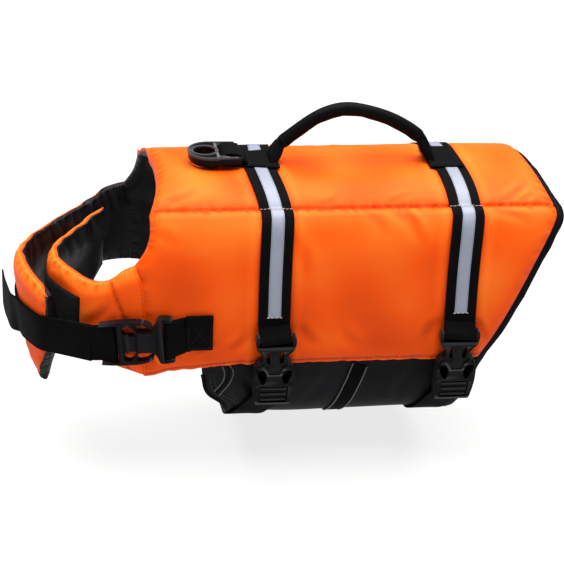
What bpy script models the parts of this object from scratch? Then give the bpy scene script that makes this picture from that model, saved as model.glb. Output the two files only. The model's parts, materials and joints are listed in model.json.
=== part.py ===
# Dog life jacket, filled out as it is worn, with nobody in it.
# Metres, +Z up, +X to the tail, -Y is the dog's left. Sizes below are millimetres, and
# MM turns them into metres. The origin is on the inside of the back panel, on the centre line.

import functools
import math

import bmesh
import bpy
import numpy as np
from mathutils import Matrix, Vector

MM = 0.001
PART = "dog_life_jacket"

# Gaps between pieces, and cloth and foam thicknesses
GAP = 0.3
FOAM = 11.0
PINCH = 4.0
WEB_THICK = 1.4
TAPE_THICK = 0.6
BELLY_THICK = 3.0

# Webbing widths
GIRTH_WEB = 25.0
CHEST_WEB = 30.0
TAPE_WIDE = 10.0

# Width of the rolled edges of the foam panels
ROLL_ENDS = 13.0
ROLL_SEAM = 10.0
ROLL_HEM = 12.0

# The pinched seam between the back and a side panel: inner and outer edge (|y|, z)
SEAM_IN = np.array([69.4, -7.9])
SEAM_OUT = np.array([71.8, -4.1])
SEAM_RUN = np.array([0.85, -0.53])

# Back panel: crest height, and the x of its ends
CREST = 12.0
BACK_FRONT_SEAM = -172.0
BACK_FRONT_MIDDLE = -163.5
BACK_REAR_MIDDLE = 143.0
BACK_REAR_SEAM = 139.3

# Outer face of a side panel in cross section, from the seam to the hem (|y|, z)
SIDE_CURVE = ((75.4, 1.4), (84.0, -4.5), (91.0, -17.0), (95.5, -42.0), (97.0, -70.0),
              (96.0, -98.0), (92.5, -126.5), (90.2, -138.0))

# Front edge of the side panels, then the joint with the chest flap (z, x)
FRONT_EDGE = ((0.0, -172.0), (-17.0, -173.0), (-28.0, -176.5), (-35.0, -181.0), (-39.0, -184.0),
              (-50.0, -180.8), (-62.0, -178.5), (-75.0, -177.3), (-95.0, -177.0), (-140.0, -177.0))

# Rear edge of the cloth, on the side panels and on down the belly (z, x)
REAR_EDGE = ((0.0, 139.3), (-4.0, 139.3), (-11.0, 137.5), (-42.5, 127.5), (-77.0, 113.5), (-102.0, 102.0),
             (-130.5, 88.0), (-144.0, 84.0), (-160.0, 79.0), (-168.0, 74.5), (-190.0, 72.5))

# Height of the side hems along the body (x, z)
LEFT_HEM = ((-185.0, -132.8), (-177.0, -132.6), (-157.0, -130.6), (-133.0, -129.4),
            (-110.0, -126.3), (95.0, -126.3))
RIGHT_HEM = ((-185.0, -110.0), (-172.0, -110.0), (-156.0, -117.0), (-140.0, -126.3),
             (95.0, -126.3))

# Belly panel: outer face in cross section from the left tuck to the middle (|y|, z)
BELLY_CURVE = ((83.3, -108.0), (82.0, -117.0), (80.6, -126.0), (79.9, -134.0), (78.8, -148.0),
               (73.0, -168.0), (60.0, -181.0), (40.0, -186.5), (0.0, -189.5))
BELLY_TUCK = -130.0
BELLY_FRONT = ((-105.0, -130.0), (-140.0, -130.0), (-158.0, -123.5), (-165.0, -115.0),
               (-174.0, -110.5), (-190.0, -110.0))

# Left chest flap: plan ellipse, and rim heights against the angle round it
LEFT_FLAP_DEEP = 70.0
LEFT_FLAP_RIGHT_HALF = 70.0
LEFT_FLAP_TURN = 158.0
LEFT_FLAP_TOP = ((0.0, -39.0), (13.0, -44.5), (24.5, -54.0), (30.0, -56.5), (60.0, -56.5),
                 (110.0, -53.0), (158.0, -46.0))
LEFT_FLAP_HEM = ((0.0, -131.6), (8.0, -127.0), (24.5, -122.5), (34.0, -121.5), (158.0, -120.0))
CHANNEL_AT = 0.085
CHANNEL_HALF = 6.0

# Right chest flap: plan ellipses, and rim heights against the angle round it
RIGHT_FLAP_CENTRE = (-178.0, -15.0)
RIGHT_FLAP_DEEP = 98.0
RIGHT_FLAP_SIDE = 110.0
RIGHT_FLAP_END = 94.0
RIGHT_FLAP_TURN = 131.0
RIGHT_FLAP_TOP = ((0.0, -37.0), (15.0, -40.0), (20.0, -43.0), (43.0, -49.5), (70.0, -54.5),
                  (90.0, -57.0), (107.0, -60.5), (118.0, -64.0), (131.0, -69.0))
RIGHT_FLAP_HEM = ((0.0, -110.0), (43.0, -110.5), (70.0, -112.0), (90.0, -114.5), (104.0, -117.5),
                  (118.0, -128.0), (131.0, -139.0))
RIGHT_FLAP_LEAN = 4.0

# Girth straps: name, then x at the crest, at the seam and half way down the side
GIRTH_STRAPS = (("front", -77.6, -75.3, -77.6), ("rear", 76.4, 73.5, 69.4))
GIRTH_STRAP_END = -88.0
TAPE_END = -84.5

# Girth buckles: x of the middle, top end, and the lean of the buckle to the body
BUCKLE_X = {"front": -76.5, "rear": 68.5}
BUCKLE_TOP = -101.5
BUCKLE_BACK = (95.2, -114.0)
BUCKLE_LEAN = 0.25
BUCKLE_LONG = 62.0
BELLY_STRAP_SHIFT = {"front": -22.0, "rear": -16.0}
PLUG_THICK = 8.0
SOCKET_THICK = 10.5
BAR_RADIUS = 1.7

# Chest buckle: right end, direction to its left end, and the belt line
CHEST_BUCKLE_RIGHT = (-152.5, -105.6, -94.0)
CHEST_BUCKLE_RUN = (-61.0, 7.9, -5.0)
CHEST_TAB = (-125.0, -146.0)
CHEST_LINE = -92.5

# Chest strap: its angles round the right flap, its height at both ends, and its loose tail
STRAP_ANGLES = (126.0, 118.0, 110.0, 102.0, 94.0, 86.0, 78.0, 70.0, 62.0, 54.0)
CHEST_STRAP_Z = (-101.0, -94.0)
STRAP_OFF_FLAP = 0.8
TAIL_LEAVES = 8
TAIL_FREE = ((-278.8, -20.0, -99.6), (-281.8, 0.0, -101.0), (-284.2, 19.0, -102.3),
             (-285.7, 38.0, -103.0))

# Handle: centre line in the middle plane (x, z), and its radius
HANDLE_LINE = ((-63.3, 26.2), (-55.6, 32.3), (-40.0, 44.0), (-26.0, 51.2), (-10.0, 54.3),
               (8.0, 51.6), (24.9, 45.6), (39.0, 38.0), (50.5, 30.2))
HANDLE_RADIUS = 6.5

# Lead ring: outline size, bar axis, and the hole
RING_FRONT = -137.0
RING_HALF = 21.0
RING_REAR = -95.5
RING_AXIS = (-100.5, 19.5)
RING_THICK = 6.0
RING_HOLE = (-124.2, 8.9)
RING_BAR_RADIUS = 2.4
RING_SLOT = (-112.9, 15.5)

# Colours seen on the real jacket: red, green, blue, roughness
COLOURS = {
    "orange_cloth": (0.90, 0.16, 0.02, 0.55),
    "black_webbing": (0.012, 0.012, 0.014, 0.75),
    "reflective_tape": (0.50, 0.50, 0.60, 0.35),
    "black_belly_cloth": (0.015, 0.015, 0.018, 0.80),
    "black_binding": (0.012, 0.012, 0.013, 0.65),
    "black_plastic": (0.015, 0.015, 0.017, 0.35),
    "hook_and_loop": (0.010, 0.010, 0.011, 0.95),
}


def clear_scene():
    for obj in list(bpy.data.objects):
        bpy.data.objects.remove(obj, do_unlink=True)


def make_collections():
    part = bpy.data.collections.new(PART)
    cutters = bpy.data.collections.new(PART + "_tools")
    bpy.context.scene.collection.children.link(part)
    bpy.context.scene.collection.children.link(cutters)
    cutters.hide_render = True
    return part, cutters


def piece_material(name, kind):
    red, green, blue, rough = COLOURS[kind]
    material = bpy.data.materials.new(name + "_" + kind)
    material.use_nodes = True
    shader = material.node_tree.nodes["Principled BSDF"]
    shader.inputs["Base Color"].default_value = (red, green, blue, 1.0)
    shader.inputs["Roughness"].default_value = rough
    shader.inputs["Metallic"].default_value = 0.0
    return material


def add_object(name, mesh, kind):
    obj = bpy.data.objects.new(name, mesh)
    PART_COLLECTION.objects.link(obj)
    obj.data.materials.clear()
    obj.data.materials.append(piece_material(name, kind))
    obj.data.shade_smooth()
    obj.data.set_sharp_from_angle(angle=math.radians(40))
    return obj


def mesh_from(name, points, faces):
    """A closed mesh in metres, with its faces turned outward."""
    mesh = bpy.data.meshes.new(name)
    mesh.from_pydata([tuple(MM * c for c in p) for p in points], [], faces)
    work = bmesh.new()
    work.from_mesh(mesh)
    bmesh.ops.recalc_face_normals(work, faces=work.faces)
    work.to_mesh(mesh)
    work.free()
    return mesh


def smooth_line(points, steps=10):
    """Dense points of a Catmull-Rom curve through the given ones."""
    p = np.array(points, float)
    p = np.vstack([2 * p[0] - p[1], p, 2 * p[-1] - p[-2]])
    rows = []
    for i in range(1, len(p) - 2):
        a, b, c, d = p[i - 1], p[i], p[i + 1], p[i + 2]
        for t in np.arange(steps) / steps:
            rows.append(0.5 * (2 * b + (c - a) * t + (2 * a - 5 * b + 4 * c - d) * t * t
                               + (3 * b - a - 3 * c + d) * t ** 3))
    rows.append(p[-2])
    return np.array(rows)


def lengths_along(line):
    return np.concatenate([[0.0], np.cumsum(np.linalg.norm(np.diff(line, axis=0), axis=1))])


@functools.lru_cache(maxsize=None)
def dense_table(table):
    return smooth_line(sorted(table), 8)


def table_value(table, at):
    """Value of a (place, value) table, smoothly between its rows."""
    line = dense_table(table)
    return np.interp(at, line[:, 0], line[:, 1])


SIDE_LINE = smooth_line(SIDE_CURVE)
SIDE_LENGTH = lengths_along(SIDE_LINE)


def side_section(length):
    """Point and outward normal (|y|, z) of the side's outer face, this far below the seam."""
    at = np.array([np.interp(length, SIDE_LENGTH, SIDE_LINE[:, k]) for k in (0, 1)])
    ahead = np.array([np.interp(length + 1.0, SIDE_LENGTH, SIDE_LINE[:, k]) for k in (0, 1)])
    behind = np.array([np.interp(length - 1.0, SIDE_LENGTH, SIDE_LINE[:, k]) for k in (0, 1)])
    run = (ahead - behind) / np.linalg.norm(ahead - behind)
    return at, np.array([-run[1], run[0]])


def side_length_at(z):
    return float(np.interp(-z, -SIDE_LINE[:, 1], SIDE_LENGTH))


def side_half_width(z):
    return float(np.interp(-z, -SIDE_LINE[:, 1], SIDE_LINE[:, 0]))


def roll(distance, width):
    """Share of the full foam thickness, this far from a pinched edge."""
    t = np.clip(distance / width, 0.0, 1.0)
    return np.sqrt(1.0 - (1.0 - t) ** 2)


def edge_lines(length, first, last, between):
    """Places along a panel, close together on its rolled edges."""
    steps = np.array([0.0, 0.06, 0.28, 0.62])
    start = steps * first
    end = length - steps[::-1] * last
    middle = np.linspace(first, length - last, between)
    return np.concatenate([start, middle, end])


def closed_panel(name, outer, inner, kind):
    """A closed body between two grids of points, joined round their four edges."""
    rows, columns = outer.shape[:2]
    count = rows * columns
    points = np.vstack([outer.reshape(-1, 3), inner.reshape(-1, 3)])
    faces = []
    for i in range(rows - 1):
        for j in range(columns - 1):
            a, b = i * columns + j, (i + 1) * columns + j
            c, d = b + 1, a + 1
            faces.append((a, b, c, d))
            faces.append((d + count, c + count, b + count, a + count))
    rim = [i * columns for i in range(rows)]
    rim += [(rows - 1) * columns + j for j in range(1, columns)]
    rim += [i * columns + columns - 1 for i in range(rows - 2, -1, -1)]
    rim += list(range(columns - 2, 0, -1))
    for a, b in zip(rim, rim[1:] + rim[:1]):
        faces.append((b, a, a + count, b + count))
    return add_object(name, mesh_from(name, points, faces), kind)


def from_chest_middle(points):
    """Level directions from the middle of the chest opening to a grid of points."""
    away = points - np.array([-178.0, 0.0, 0.0])
    away[:, :, 2] = 0.0
    return away


def grid_normals(points, outward):
    """Unit normals of a grid of points, turned to the side that outward(point) gives."""
    along = np.gradient(points, axis=0)
    across = np.gradient(points, axis=1)
    normals = np.cross(along, across)
    normals /= np.linalg.norm(normals, axis=2)[:, :, None]
    facing = np.einsum("ijk,ijk->ij", normals, outward(points))
    return normals * np.sign(facing)[:, :, None]


# Back panel

BACK_SHARES = (0.0, 0.2, 0.4, 0.58, 0.73, 0.85, 0.93, 0.98, 1.0)
BACK_ROWS = np.array([-s for s in BACK_SHARES[:0:-1]] + list(BACK_SHARES))


def back_outer(share):
    """(y, z) of the plain outer face of the back, at this share of the half width."""
    edge = SEAM_OUT - 0.5 * GAP * SEAM_RUN
    rise = CREST - edge[1]
    return np.array([share * edge[0], edge[1] + rise * (1.0 - abs(share) ** 3) ** 0.7])


def back_inner(share):
    edge = SEAM_IN - 0.5 * GAP * SEAM_RUN
    return np.array([share * edge[0], edge[1] * abs(share) ** 2.2])


def back_front_edge(share):
    """x of the neck edge, scooped in the middle."""
    return BACK_FRONT_SEAM + (BACK_FRONT_MIDDLE - BACK_FRONT_SEAM) * (1.0 - abs(share) ** 2.5)


def back_rear_edge(share):
    """x of the cloth's rear edge, which turns forward a little at the seams."""
    return BACK_REAR_MIDDLE + (BACK_REAR_SEAM - BACK_REAR_MIDDLE) * abs(share) ** 6


def make_back():
    length = BACK_REAR_MIDDLE - BACK_FRONT_SEAM
    places = edge_lines(length, ROLL_ENDS, ROLL_ENDS, 9) / length
    outer = np.zeros((len(places), len(BACK_ROWS), 3))
    inner = np.zeros_like(outer)
    for j, share in enumerate(BACK_ROWS):
        top, under = back_outer(share), back_inner(share)
        full = np.linalg.norm(top - under)
        start, end = back_front_edge(share), back_rear_edge(share)
        for i, place in enumerate(places):
            x = start + (end - start) * place
            puff = roll(x - start, ROLL_ENDS) * roll(end - x, ROLL_ENDS)
            thin = min(1.0, PINCH / full)
            at = under + (top - under) * (thin + (1.0 - thin) * puff)
            outer[i, j] = (x, at[0], at[1])
            inner[i, j] = (x, under[0], under[1])
    closed_panel("back_panel", outer, inner, "orange_cloth")


# Side panels

SIDE_ROWS = 16


def side_rows(hem_length):
    """Lengths below the seam of a side panel's rows."""
    return edge_lines(hem_length, ROLL_SEAM, ROLL_HEM, SIDE_ROWS - 8)


def side_thickness(length, hem_length):
    seam = np.linalg.norm(SEAM_OUT - SEAM_IN)
    thick = seam + (FOAM - seam) * roll(length, ROLL_SEAM)
    return PINCH + (thick - PINCH) * roll(hem_length - length, ROLL_HEM)


def side_point(length, hem_length, puff=1.0):
    """Outer and inner point (|y|, z) of a side panel."""
    at, normal = side_section(length)
    under = at - FOAM * normal
    thick = side_thickness(length, hem_length)
    if length < 0.01:
        under = SEAM_IN + 0.5 * GAP * SEAM_RUN
        normal = (SEAM_OUT - SEAM_IN) / np.linalg.norm(SEAM_OUT - SEAM_IN)
    thick = PINCH + (thick - PINCH) * puff
    return under + thick * normal, under


def make_side(name, hand, hem):
    """hand is -1 on the dog's left and +1 on its right."""
    places = edge_lines(300.0, ROLL_ENDS, ROLL_ENDS, 9) / 300.0
    shares = side_rows(132.0) / 132.0
    outer = np.zeros((len(places), len(shares), 3))
    inner = np.zeros_like(outer)
    for i, place in enumerate(places):
        for j, share in enumerate(shares):
            x = 0.0
            for _ in range(8):
                hem_length = side_length_at(table_value(hem, x))
                length = share * hem_length
                z = side_section(length)[0][1]
                front = table_value(FRONT_EDGE, z)
                rear = table_value(REAR_EDGE, z)
                x = front + (rear - front) * place
            puff = roll(x - front, ROLL_ENDS) * roll(rear - x, ROLL_ENDS)
            top, under = side_point(length, hem_length, puff)
            outer[i, j] = (x, hand * top[0], top[1])
            inner[i, j] = (x, hand * under[0], under[1])
    closed_panel(name, outer, inner, "orange_cloth")


# Chest flaps


def left_flap_face(angle, share, joined=1.0):
    """Plain outer face of the left flap, by the angle round it and the share from rim to hem.
    joined is 0 where the slant of its joint with the side panel is left out."""
    turn = math.radians(angle)
    top = table_value(LEFT_FLAP_TOP, angle)
    low = table_value(LEFT_FLAP_HEM, angle)
    z = top + (low - top) * share
    half = side_half_width(z)
    if angle > 90.0:
        half = LEFT_FLAP_RIGHT_HALF + (half - 97.0)
    joint = joined * (table_value(FRONT_EDGE, z) - 2.0 * GAP + 180.0)
    x = -180.0 - LEFT_FLAP_DEEP * math.sin(turn) + joint * max(0.0, 1.0 - angle / 30.0) ** 2
    return np.array([x, -half * math.cos(turn), z])


def right_flap_face(angle, share, joined=1.0):
    """Plain outer face of the right flap, given like the left one."""
    turn = math.radians(angle)
    top = table_value(RIGHT_FLAP_TOP, angle)
    low = table_value(RIGHT_FLAP_HEM, angle)
    z = top + (low - top) * share
    inward = RIGHT_FLAP_LEAN * (-60.0 - z) / 60.0
    side = RIGHT_FLAP_SIDE if angle < 90.0 else RIGHT_FLAP_END
    lean_side = inward * min(1.0, angle / 30.0) ** 2
    start = side_half_width(z) - RIGHT_FLAP_CENTRE[1] - RIGHT_FLAP_SIDE
    turned = min(1.0, angle / 40.0)
    start *= 1.0 - turned ** 2 * (3.0 - 2.0 * turned)
    joint = joined * (table_value(FRONT_EDGE, z) - 2.0 * GAP + 178.0)
    x = RIGHT_FLAP_CENTRE[0] - (RIGHT_FLAP_DEEP - inward) * math.sin(turn)
    x += joint * max(0.0, 1.0 - angle / 30.0) ** 2
    y = RIGHT_FLAP_CENTRE[1] + (side - lean_side + start) * math.cos(turn)
    return np.array([x, y, z])


def flap_grids(face, turn, count, rows):
    """Plain face, its outward normals, and the places along and down the flap, in millimetres."""
    samples = np.array([face(a, 0.5) for a in np.linspace(0.0, turn, 80)])
    run = lengths_along(samples)
    places = edge_lines(run[-1], ROLL_ENDS, ROLL_ENDS, count)
    if face is left_flap_face:
        channel = CHANNEL_AT * run[-1]
        extra = channel + np.array([-CHANNEL_HALF, -2.0, 0.0, 2.0, CHANNEL_HALF])
        places = np.array(sorted(set(places[places < channel - CHANNEL_HALF - 1.0])
                                 | set(extra) | set(places[places > channel + CHANNEL_HALF + 1.0])))
    angles = np.interp(places, run, np.linspace(0.0, turn, 80))
    shares = edge_lines(70.0, 10.0, 10.0, rows) / 70.0
    grid = np.array([[face(a, s) for s in shares] for a in angles])
    plain = np.array([[face(a, s, 0.0) for s in shares] for a in angles])
    return grid, grid_normals(plain, from_chest_middle), places, run[-1]


def make_flap(name, face, turn, count, kind="orange_cloth"):
    grid, normals, places, total = flap_grids(face, turn, count, 5)
    outer = np.zeros_like(grid)
    inner = grid - FOAM * normals
    for i, place in enumerate(places):
        drop = np.linalg.norm(grid[i, -1] - grid[i, 0])
        depth = lengths_along(grid[i])
        for j in range(grid.shape[1]):
            puff = roll(place, ROLL_ENDS) * roll(total - place, ROLL_ENDS)
            puff *= roll(depth[j], 10.0) * roll(drop - depth[j], 10.0)
            if face is left_flap_face:
                puff *= 0.35 + 0.65 * roll(abs(place - CHANNEL_AT * total), CHANNEL_HALF)
            outer[i, j] = inner[i, j] + (PINCH + (FOAM - PINCH) * puff) * normals[i, j]
    closed_panel(name, outer, inner, kind)


# Strips of webbing and tape


def ribbon(name, path, across, normals, width, thick, kind, lift=0.0):
    """A flat strip along a path, width wide, its under side lift above the path."""
    path, across, normals = np.array(path), np.array(across), np.array(normals)
    sides = np.array([-0.5, 0.5]) * width
    under = np.array([[p + s * a + lift * n for s in sides] for p, a, n in zip(path, across, normals)])
    over = under + thick * normals[:, None, :]
    closed_panel(name, over, under, kind)


def section_normals(points):
    """Unit normals of a line of (y, z) points, to the left of its run."""
    run = np.gradient(points, axis=0)
    run /= np.linalg.norm(run, axis=1)[:, None]
    return np.stack([run[:, 1] * -1.0, run[:, 0]], axis=1)


def girth_section():
    """Line (y, z) over both sides and the back, from the left end to the right hem."""
    hem = side_length_at(-126.3)
    rows = [r for r in side_rows(132.0) / 132.0 * hem if r > 0.2 * ROLL_SEAM]
    left_end = side_length_at(GIRTH_STRAP_END)
    left = [side_point(r, hem)[0] for r in sorted([r for r in rows if r < left_end - 3.0] + [left_end])]
    right = [side_point(r, hem)[0] for r in rows if r < hem - 0.5 * ROLL_HEM]
    groove = SEAM_OUT + 2.2 * (SEAM_OUT - SEAM_IN) / np.linalg.norm(SEAM_OUT - SEAM_IN)
    back = [back_outer(s) for s in BACK_ROWS if abs(s) < 0.95]
    mirror = np.array([-1.0, 1.0])
    line = [p * mirror for p in reversed(left)] + [groove * mirror] + back + [groove] + right
    return np.array(line)


def girth_strap_x(y, crest, seam, side):
    """x of a strap's middle at this height down the side, or across the back."""
    share = np.clip(abs(y[0]) / SEAM_OUT[0], 0.0, 1.0)
    if y[1] > SEAM_OUT[1] - 4.0:
        return crest + (seam - crest) * share ** 2
    down = np.clip((SEAM_OUT[1] - y[1]) / 60.0, 0.0, 1.0)
    return seam + (side - seam) * (1.0 - (1.0 - down) ** 2)


def make_girth_straps():
    line = girth_section()
    normals = section_normals(line)
    flat = np.array([[1.0, 0.0, 0.0]] * len(line))
    for name, crest, seam, side in GIRTH_STRAPS:
        path = [(girth_strap_x(p, crest, seam, side), p[0], p[1]) for p in line]
        out = [(0.0, n[0], n[1]) for n in normals]
        ribbon("girth_strap_" + name, path, flat, out, GIRTH_WEB, WEB_THICK, "black_webbing", 0.4)
        keep = [i for i, p in enumerate(line) if p[1] > TAPE_END]
        ends = [keep[0] - 1] + keep + [keep[-1] + 1]
        tape = []
        for k, i in enumerate(ends):
            at = line[i]
            if at[1] < TAPE_END:
                mate = line[ends[1] if k == 0 else ends[-2]]
                at = at + (mate - at) * (TAPE_END - at[1]) / (mate[1] - at[1])
            tape.append((girth_strap_x(at, crest, seam, side), at[0], at[1]))
        ribbon("reflective_tape_" + name, tape, flat[:len(tape)], [out[i] for i in ends], TAPE_WIDE,
               TAPE_THICK, "reflective_tape", 0.4 + WEB_THICK + GAP)


def webbing_loop(name, start, bar, side, width):
    """Webbing sewn at start that turns round a bar, closed, width wide along side."""
    start, bar, side = (np.array(v, float) for v in (start, bar, side))
    side /= np.linalg.norm(side)
    reach = bar - start
    run = reach / np.linalg.norm(reach)
    lift = np.cross(side, run)
    outer_radius = BAR_RADIUS + 0.4 + WEB_THICK
    inner_radius = BAR_RADIUS + 0.4
    outer, inner = [], []
    for angle in np.linspace(105.0, -105.0, 9):
        turn = math.radians(angle)
        ray = math.cos(turn) * run + math.sin(turn) * lift
        outer.append(bar + outer_radius * ray)
        inner.append(bar + inner_radius * ray)
    for share, angle in ((0.5, -135.0), (1.0, -165.0), (1.0, 165.0), (0.5, 135.0)):
        turn = math.radians(angle)
        sign = math.copysign(1.0, angle)
        half = WEB_THICK + (outer_radius - WEB_THICK) * (1.0 - share) * 0.6
        outer.append(bar - share * reach + sign * half * lift)
        inner.append(bar + inner_radius * (math.cos(turn) * run + math.sin(turn) * lift))
    count = len(outer)
    points = []
    for offset in (-0.5, 0.5):
        points += [p + offset * width * side for p in outer]
        points += [p + offset * width * side for p in inner]
    faces = []
    for i in range(count):
        k = (i + 1) % count
        faces.append((i, k, k + 2 * count, i + 2 * count))
        faces.append((i + count, i + 3 * count, k + 3 * count, k + count))
        faces.append((i, i + count, k + count, k))
        faces.append((i + 2 * count, k + 2 * count, k + 3 * count, i + 3 * count))
    add_object(name, mesh_from(name, points, faces), "black_webbing")


# Plastic plates and buckles


def flat_plate(name, outlines, thick, bevel, frame, kind="black_plastic"):
    """A plate from flat outlines (the later ones are holes), with its edges bevelled."""
    curve = bpy.data.curves.new(name + "_outline", "CURVE")
    curve.dimensions = "2D"
    curve.fill_mode = "BOTH"
    curve.extrude = 0.5 * thick * MM
    for outline in outlines:
        line = curve.splines.new("POLY")
        line.points.add(len(outline) - 1)
        for point, (x, y) in zip(line.points, outline):
            point.co = (x * MM, y * MM, 0.0, 1.0)
        line.use_cyclic_u = True
    source = bpy.data.objects.new(name + "_outline", curve)
    PART_COLLECTION.objects.link(source)
    graph = bpy.context.evaluated_depsgraph_get()
    mesh = bpy.data.meshes.new_from_object(source.evaluated_get(graph))
    bpy.data.objects.remove(source, do_unlink=True)
    work = bmesh.new()
    work.from_mesh(mesh)
    bmesh.ops.remove_doubles(work, verts=work.verts, dist=1e-6)
    bmesh.ops.recalc_face_normals(work, faces=work.faces)
    work.to_mesh(mesh)
    work.free()
    obj = add_object(name, mesh, kind)
    obj.matrix_world = frame
    edge = obj.modifiers.new("edges", "BEVEL")
    edge.width = bevel * MM
    edge.segments = 1
    edge.limit_method = "ANGLE"
    edge.angle_limit = math.radians(50)
    return obj


def add_bar(obj, start, end, radius):
    """Joins a round bar, given in the object's own frame, to the object."""
    start, end = Vector(start) * MM, Vector(end) * MM
    bpy.ops.mesh.primitive_cylinder_add(vertices=12, radius=radius * MM, depth=(end - start).length)
    bar = bpy.context.object
    bar.name = obj.name + "_bar"
    for collection in list(bar.users_collection):
        collection.objects.unlink(bar)
    TOOLS_COLLECTION.objects.link(bar)
    turn = Vector((0.0, 0.0, 1.0)).rotation_difference(end - start).to_matrix().to_4x4()
    bar.matrix_world = obj.matrix_world @ Matrix.Translation((start + end) * 0.5) @ turn
    bar.hide_render = True
    bar.display_type = "WIRE"
    union = obj.modifiers.new("bar", "BOOLEAN")
    union.operation = "UNION"
    union.solver = "EXACT"
    union.object = bar


def mirrored(half):
    """A closed outline from its right half, listed from top to bottom."""
    return list(half) + [(-x, y) for x, y in reversed(half)]


def frame_from(origin, across, along, out):
    columns = [Vector(v).normalized() for v in (across, along, out)]
    matrix = Matrix.Identity(4)
    for k, column in enumerate(columns):
        for row in range(3):
            matrix[row][k] = column[row]
    matrix.translation = Vector(origin) * MM
    return matrix


def side_release(name, frame, width, socket_bar):
    """A fastened side-release buckle: y runs from the plug's bar to the socket's end."""
    w = 0.5 * width + 2.8
    lug = 0.5 * width + 0.5
    plug = mirrored(((lug, 8.5), (lug, 1.0), (w, 1.0), (w, 12.5), (w - 1.2, 15.0), (w - 3.6, 18.0),
                     (w - 3.6, 21.5), (w - 1.2, 25.0), (w - 0.4, 28.0), (w - 0.8, 31.0)))
    window = [(w - 5.2, 15.5), (w - 7.0, 19.5), (w - 6.8, 22.5), (w - 4.6, 26.0), (w - 3.8, 28.6),
              (w - 7.6, 28.6), (w - 8.8, 15.5)]
    other = [(-x, y) for x, y in reversed(window)]
    body = flat_plate(name + "_plug", [plug, window, other], PLUG_THICK, 0.7, frame)
    add_bar(body, (-w + 1.2, 4.0, 0.0), (w - 1.2, 4.0, 0.0), BAR_RADIUS)
    end = BUCKLE_LONG
    half = [(w - 0.9, 31.0 + GAP), (w + 0.6, 35.0), (w + 1.2, 45.0), (w + 2.1, end - 5.0)]
    if socket_bar:
        half = [(w - 0.9, 31.0 + GAP), (w + 0.6, 35.0), (w + 0.8, 46.0), (w, end - 1.0),
                (lug, end - 1.0), (lug, end - 8.5)]
    else:
        half += [(w + 1.2, end - 1.6), (w - 2.0, end)]
    socket = flat_plate(name + "_socket", [mirrored(half)], SOCKET_THICK, 1.4, frame)
    if socket_bar:
        add_bar(socket, (-w + 1.2, end - 4.0, 0.0), (w - 1.2, end - 4.0, 0.0), BAR_RADIUS)


def buckle_frame(x):
    """Frame of a girth buckle: origin at its top, y down the body and z outward."""
    down = np.array([0.0, BUCKLE_LEAN, -1.0]) / math.hypot(1.0, BUCKLE_LEAN)
    out = np.array([0.0, -1.0, -BUCKLE_LEAN]) / math.hypot(1.0, BUCKLE_LEAN)
    back_y = -(BUCKLE_BACK[0] + BUCKLE_LEAN * (BUCKLE_TOP - BUCKLE_BACK[1]))
    origin = np.array([x, back_y, BUCKLE_TOP]) + 0.5 * SOCKET_THICK * out
    across = np.cross(down, out)
    return origin, across, down, out


def make_girth_buckles():
    hem = side_length_at(-126.3)
    start, normal = side_section(side_length_at(GIRTH_STRAP_END - GAP))
    for name, x in BUCKLE_X.items():
        origin, across, down, out = buckle_frame(x)
        side_release("girth_buckle_" + name, frame_from(origin, across, down, out), GIRTH_WEB, False)
        seat = (start + (0.6 + WEB_THICK) * normal)
        bar = origin + 4.0 * down
        webbing_loop("strap_loop_" + name, (x, -seat[0], seat[1]), bar, (1.0, 0.0, 0.0), GIRTH_WEB - 1.0)


def chest_frame():
    """Frame of the chest buckle: origin at its left end, y toward the tail."""
    along = -np.array(CHEST_BUCKLE_RUN)
    along /= np.linalg.norm(along)
    out = np.array([0.0, -1.0, 0.0]) - along * np.dot(along, (0.0, -1.0, 0.0))
    out /= np.linalg.norm(out)
    origin = np.array(CHEST_BUCKLE_RIGHT) - BUCKLE_LONG * along
    across = np.cross(along, out)
    return origin, across, along, out


def side_strip(name, start, end, high, low, lift, thick, kind):
    """A patch on the left side panel's outer face, between two x and two z values."""
    rows = []
    for z in np.linspace(high, low, 4):
        at, normal = side_section(side_length_at(z))
        rows.append(((-at[0], at[1]), (-normal[0], normal[1])))
    under, over = [], []
    for x in (start, end):
        under.append([(x, p[0] + lift * n[0], p[1] + lift * n[1]) for p, n in rows])
        over.append([(x, p[0] + (lift + thick) * n[0], p[1] + (lift + thick) * n[1]) for p, n in rows])
    closed_panel(name, np.array(over), np.array(under), kind)


def make_chest_fastening():
    origin, across, along, out = chest_frame()
    side_release("chest_buckle", frame_from(origin, across, along, out), CHEST_WEB, True)
    half = 0.5 * CHEST_WEB
    side_strip("chest_tab", CHEST_TAB[0], CHEST_TAB[1], CHEST_LINE + half, CHEST_LINE - half, 0.4,
               2.0 * WEB_THICK, "black_webbing")
    bar = origin + (BUCKLE_LONG - 4.0) * along
    at, normal = side_section(side_length_at(bar[2]))
    start = (CHEST_TAB[1] - 6.0 * GAP, -(at[0] + 0.4 + WEB_THICK), bar[2] + 0.4)
    webbing_loop("chest_loop_tab", start, bar, across, CHEST_WEB - 1.0)
    bar = origin + 4.0 * along
    start = bar - 9.0 * along - 1.5 * out
    webbing_loop("chest_loop_strap", start, bar, across, CHEST_WEB - 1.0)
    make_chest_strap(start - 2.5 * GAP * along - 0.5 * WEB_THICK * out)


def flap_outer_at(angle, z):
    """Point of the right flap's plain outer face at this height, its normal and its upward run."""
    top = table_value(RIGHT_FLAP_TOP, angle)
    low = table_value(RIGHT_FLAP_HEM, angle)
    share = (z - top) / (low - top)
    at = right_flap_face(angle, share)
    run = right_flap_face(angle + 1.0, share) - right_flap_face(angle - 1.0, share)
    up = right_flap_face(angle, share - 0.05) - right_flap_face(angle, share + 0.05)
    normal = np.cross(up, run)
    normal /= np.linalg.norm(normal)
    if np.dot(normal, at - np.array([-178.0, 0.0, at[2]])) < 0.0:
        normal = -normal
    return at, normal, up / np.linalg.norm(up)


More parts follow.
